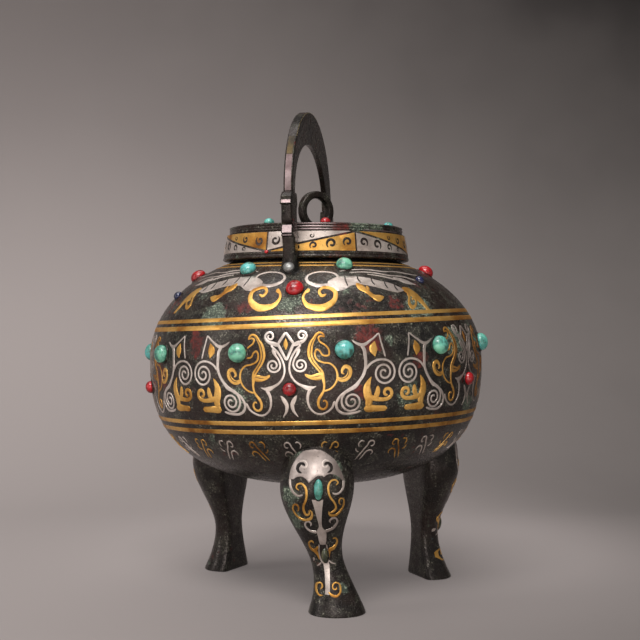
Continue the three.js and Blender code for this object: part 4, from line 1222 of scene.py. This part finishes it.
# Sections at rising levels: an elliptic outer face and a flat inner face with round corners
def makeLeg(node, one):
    levels = np.concatenate([[0, 0.35, 1.0, 2.0], np.linspace(3.2, leg["top"], 74)])[:, None]
    shrink = np.concatenate([[0.95, 0.985, 0.997], np.ones(75)])[:, None]
    angle = np.linspace(-np.pi / 2, np.pi / 2, 33)
    half, depth = alongLeg("width", levels) / 2, alongLeg("depth", levels)
    bow = depth * leg["bow"]
    centre = alongLeg("reach", levels) - bow
    # The flat inner face with rounded corners, after the bowed outer one
    inward = np.array([0.35, 0.75, 0.93, 1, 1, 1, 1, 1, 0.93, 0.75, 0.35])
    wide = np.array([0.99, 0.94, 0.86, 0.74, 0.4, 0, -0.4, -0.74, -0.86, -0.94, -0.99])
    out = np.concatenate([centre + bow * np.cos(angle), centre - (depth - bow) * inward], 1)
    across = np.concatenate([half * np.sin(angle), half * wide], 1) * shrink
    middle = centre + bow - depth / 2
    points = onLeg(middle + (out - middle) * shrink, across, levels, one)
    # Inside the belly the leg stays within its wall
    least = bellyRadius(points[..., 2]) - np.where(np.arange(out.shape[1]) < len(angle), 1.0, 2.4)
    ring = np.hypot(points[..., 0], points[..., 1])
    points[..., :2] *= (np.maximum(ring, least) / ring)[..., None]
    addPiece(node.replace("_leg", "Leg"), [skinned(points)], legBronze, stands=[node])


# Leg inlay: a silver mask over the knee, a silver stem down the shin with arms, and gold
# scrolls. Paths hold [across from the inlay's middle, level, width].
legInlay = {
    "lowered": [(9, 0.8), (15, 1.2), (22, 1.7), (31, 1.3), (41, 0.9), (48, 0)],
    "maskTop": [(-11.9, 56.6), (-11.3, 59.8), (-10.5, 61.9), (-9.2, 64.4), (-7.9, 66.2), (-6.7, 67.4),
                (-5.2, 68.1), (-2, 68.5), (0.4, 68.2), (2.2, 67.4), (4.2, 66.0), (6.3, 64.2),
                (7.7, 61.9), (8.7, 59.8), (9.4, 58.3), (10.0, 56.4)],
    "maskLow": [(-11.9, 55.8), (-10.2, 55.8), (-9.0, 56.8), (-7.5, 57.1), (-6.3, 56.8), (-5.0, 55.8),
                (-4.3, 54.4), (-3.3, 55.4), (-2.2, 56.4), (-0.8, 57.4), (1.0, 57.5), (1.9, 56.9),
                (2.8, 57.7), (4.3, 58.2), (6.1, 57.9), (8.0, 56.8), (9.2, 55.6), (10.0, 55.2)],
    "stemEdges": [(48.2, -3.2, 1.8), (46.2, -2.5, 1.5), (43.1, -1.7, 1.0), (40.1, -1.0, 0.65),
                  (38.6, -0.75, 0.6), (37.3, -0.9, 0.8), (36.3, -1.7, 1.7), (35.3, -1.9, 2.2),
                  (34.2, -1.7, 2.2), (32.5, -1.5, 1.9), (31.0, -1.3, 1.6), (30.2, -1.0, 1.4)],
    "lowEdges": [(22.7, -0.7, 1.9), (19.6, -0.5, 1.8), (15.0, -0.55, 1.6), (11.0, -0.6, 1.4),
                 (9.4, -0.8, 1.5)],
    "silver": [
        [(-11.65, 56.2, 1.0), (-11.4, 53.1, 1.1), (-10.2, 50.7, 1.1), (-8.3, 49.5, 1.0), (-6.4, 50.1, .8)],
        [(9.9, 55.8, 1.2), (9.7, 52.5, 1.1), (8.3, 50.7, 1.0), (6.3, 50.3, .9), (5.2, 51.0, .6)],
        [(-1.6, 35.4, 1.7), (-2.6, 35.5, 1.3), (-4.3, 35.9, 1.1), (-5.7, 37.1, .9), (-6.2, 38.4, .8),
         (-5.7, 39.5, .8), (-4.5, 39.8, .8), (-3.7, 39.0, .8), (-4.1, 37.9, .6)],
        [(1.6, 35.6, 1.7), (2.5, 36.0, 1.4), (4.4, 36.6, 1.2), (6.2, 38.0, 1.1), (7.1, 39.8, 1.0),
         (6.4, 41.0, .9), (4.9, 40.9, .9), (3.9, 40.0, .8), (4.1, 39.1, .6)],
        [(-1.4, 30.4, .7), (-1.7, 27.9, .7), (-1.7, 25.4, .7), (-1.1, 23.4, .9), (-0.2, 22.4, 1.2)],
        [(1.6, 30.4, .7), (1.7, 27.9, .7), (1.7, 25.4, .7), (1.5, 23.4, .9), (1.0, 22.4, 1.2)],
        [(-1.3, 23.0, .6), (-2.4, 21.9, .7), (-3.4, 21.2, .4)],
        [(1.7, 24.0, .6), (2.8, 22.8, .7), (4.5, 22.3, .4)],
        [(-4.4, 24.6, 1.0), (-4.1, 23.8, .9), (-4.5, 23.2, .4)],
    ],
    # The left eye's silver hook and dark crescent, about its middle; the right one is its mirror
    "eyes": [(-6.3, 61.9, 1), (2.6, 62.2, -1)],
    "eyeHook": curl((0, 0), (1.75, 0.8), 140, -320, (0.9, 0.8)),
    "eyeDark": [(0.5, -0.5, .7), (0.2, 0.3, 1.3), (-0.9, 0.4, 1.7), (-1.9, -0.3, 1.6), (-2.3, -1.5, 1.5),
                (-1.8, -2.7, 1.3), (-0.5, -3.2, .6)],
    "gold": [
        [(-8.1, 51.8, .7), (-9.1, 52.7, .8), (-8.7, 54.1, .9), (-7.2, 54.6, 1.0), (-5.7, 53.3, 1.2),
         (-5.1, 50.7, 1.3), (-5.3, 48.0, 1.2), (-6.3, 45.6, 1.2), (-6.1, 43.6, 1.3), (-5.3, 42.4, 1.2),
         (-4.1, 42.9, 1.0), (-4.2, 44.3, .5)],
        [(-3.9, 44.5, .4), (-3.0, 43.1, 1.0), (-3.6, 41.3, 1.5), (-5.4, 40.4, 1.4), (-7.9, 40.9, 1.1),
         (-9.8, 42.7, .9), (-10.5, 44.7, .9), (-9.8, 46.1, .9), (-8.6, 45.8, .9), (-8.2, 44.5, .8),
         (-8.7, 43.5, .6)],
        [(6.7, 53.8, .6), (7.6, 54.8, .8), (6.4, 56.0, .9), (4.7, 55.6, 1.0), (3.7, 53.8, 1.1),
         (3.7, 51.3, 1.1), (4.6, 48.9, 1.1), (6.2, 46.8, 1.1), (6.8, 45.0, 1.1), (5.8, 43.7, 1.1),
         (4.2, 43.2, .8)],
        [(3.8, 43.9, .5), (3.9, 42.7, 1.1), (6.3, 42.1, 1.2), (8.6, 43.6, 1.0), (10.1, 45.9, .9),
         (9.9, 48.0, .8), (8.7, 48.3, .8), (8.1, 46.8, .8), (8.8, 45.8, .5)],
        [(-3.4, 30.7, .8), (-4.1, 31.6, .9), (-5.3, 30.9, .9), (-5.3, 29.3, 1.0), (-4.4, 27.9, 1.4),
         (-3.1, 27.2, 1.9), (-2.4, 25.9, 1.3), (-2.0, 24.0, .5)],
        [(-3.6, 28.1, 1.2), (-2.6, 28.4, 1.5), (-1.9, 29.6, 1.0)],
        [(4.4, 32.4, .8), (5.5, 32.7, .9), (6.2, 31.6, 1.0), (5.5, 29.8, 1.2), (3.9, 28.4, 1.8),
         (2.7, 28.0, 1.8), (2.2, 26.4, 1.1), (1.9, 24.6, .5)],
        [(0.6, 10.7, .8), (2.1, 9.3, 1.3), (3.9, 8.9, 1.3), (5.4, 10.2, 1.1), (5.7, 12.1, 1.0),
         (5.2, 13.9, .9), (3.8, 14.5, .8), (2.6, 13.6, .8), (2.7, 11.9, .8), (3.9, 11.7, .7),
         (4.1, 12.8, .5)],
        [(-1.4, 9.1, .7), (-2.8, 8.9, 1.0), (-3.9, 10.2, 1.1), (-4.1, 12.1, 1.1), (-3.4, 13.8, 1.0),
         (-2.1, 14.1, .9), (-1.6, 12.7, .8), (-2.4, 11.3, .6)],
    ],
}


# The inlay's middle wanders off the leg's middle below the knee
def inlayShift(level):
    return -2.3 * (np.clip(52 - level, 0, None) / 27) ** 1.3


def layLegInlay(one, made):
    plain = legSurface(one)
    levels, drops = np.array(legInlay["lowered"]).T

    def surface(across, along):
        level = along - np.interp(along, levels, drops)
        return plain(across + inlayShift(along) - legSway(level, one), level)

    at = np.linspace(-11.9, 10.0, 60)
    made["Mask"].append(plate(surface, stacked(at, readLine(legInlay["maskTop"], at)),
                              stacked(at, readLine(legInlay["maskLow"], at)), 14))
    for edges in (legInlay["stemEdges"], legInlay["lowEdges"]):
        edges = smoothPath(edges, 0.8)
        made["Silver"].append(plate(surface, edges[:, [1, 0]], edges[:, [2, 0]], 5))
    lay(made, surface, {"Silver": legInlay["silver"]})
    lay(made, surface, {"Gold": legInlay["gold"]}, (1, 1, 0.85))
    for x, level, mirror in legInlay["eyes"]:
        dark, hook = (np.array(legInlay[key]) * [mirror, 1, 1] + [x, level, 0]
                      for key in ("eyeDark", "eyeHook"))
        made["Eyes"].append(strip(surface, dark, 0.07))
        made["Silver"].append(strip(surface, hook, 0.16, step=0.4))


legMade = {"Mask": [], "Silver": [], "Gold": [], "Eyes": []}
for node, one in leg["each"].items():
    makeLeg(node, one)
    layLegInlay(one, legMade)
finishInlay("leg", legMade)
print("legs made")

# Stones: each is seated on its CAD node, whose points give its axis and its sizes
stones = {
    "finishes": {"turquoise": (turquoise, "turquoise"), "eye_stone": (turquoise, "turquoise"),
                 "coral": (coral, "coral"), "lapis": (lapis, "lapis"),
                 "shin_stone": (olive, "olive_stone")},
    "rootDepth": 1.0, "bezelTube": 0.34,
    "uneven": 0.025, "bulge": 0.24, "undercut": 32,
    "slack": 0.965, "smaller": {"belly_coral": 0.88},
}


# The principal axes of the node's points, the one nearest to the outward guess first
def stoneFrame(name):
    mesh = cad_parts[name].data
    flat = np.empty(len(mesh.vertices) * 3)
    mesh.vertices.foreach_get("co", flat)
    points = np.unique(np.round(flat.reshape(-1, 3) / mm, 3), axis=0) - bellyAxis
    middle = points.mean(0)
    spread, axes = np.linalg.eigh(np.cov((points - middle).T))
    guess = np.array([0, 0, 1.0]) if name.startswith("lid") else np.append(middle[:2], 0)
    if name.startswith("shoulder"):
        guess = np.append(middle[:2] / np.linalg.norm(middle[:2]), 1.4)
    pick = np.argmax(np.abs(guess @ axes))
    out = axes[:, pick] * np.sign(guess @ axes[:, pick])
    rest = [i for i in range(3) if i != pick]
    along = axes[:, rest[int(np.argmax(spread[rest]))]]
    axes = np.stack([np.cross(along, out), along, out])
    local = (points - middle) @ axes.T
    middle = middle + out * (local[:, 2].min() + stones["rootDepth"])
    return middle, axes, np.abs(local[:, :2]).max(0), np.ptp(local[:, 2]) - stones["rootDepth"]


# A bead is round: widest a little above the bronze and drawn in below that. Its setting is a
# thin tube of bronze round its foot.
def makeStone(number, name, bezels):
    finish, slotName = next(v for key, v in stones["finishes"].items() if key in name)
    middle, axes, halves, height = stoneFrame(name)
    small = stones["slack"] * next((v for key, v in stones["smaller"].items() if name.startswith(key)), 1)
    (halfX, halfY), height = halves * small, height * small
    body = "lid" if name.startswith("lid") else "vessel"
    angle = np.arange(36) / 36 * 2 * np.pi
    turn = np.radians(np.linspace(-stones["undercut"], 90, 13))[:-1]
    bulge = stones["bulge"] * height if "leg" not in name else 0
    swell = np.where(turn < 0, -bulge / np.sin(turn[0]) * 1.1, height - bulge)
    level = np.concatenate([[-0.9, -0.3], bulge + np.sin(turn) * swell])[:, None]
    wave = 1 - stones["uneven"] * (2 + np.sin(2 * angle + number) + np.sin(3 * angle + 2 * number)) / 2
    reach = np.concatenate([[0.72, 0.72], np.cos(turn)])[:, None] * wave
    rings = stacked(reach * np.cos(angle) * halfX, reach * np.sin(angle) * halfY, level)
    points, faces = tipped(rings, [0, 0, -0.9], [0, 0, height])
    addPiece(name + "_set", [(points @ axes + middle, faces)], finish, body, [name], 60)
    around = np.arange(8) / 8 * 2 * np.pi
    tube, angle = stones["bezelTube"], angle[::-1, None]
    grow = tube * (0.35 + np.cos(around))
    bezel = stacked((halfX + grow) * np.cos(angle), (halfY + grow) * np.sin(angle),
                    tube * np.sin(around) + 0.02)
    bezels[body].append(looped(bezel @ axes + middle))


bezels = {"vessel": [], "lid": []}
stoneNames = [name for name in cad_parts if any(key in name for key in stones["finishes"])]
for number, name in enumerate(sorted(stoneNames)):
    makeStone(number, name, bezels)
addPiece("vesselBezels", bezels["vessel"], bellyBronze)
addPiece("lidBezels", bezels["lid"], lidBronze, body="lid")
print("stones made")
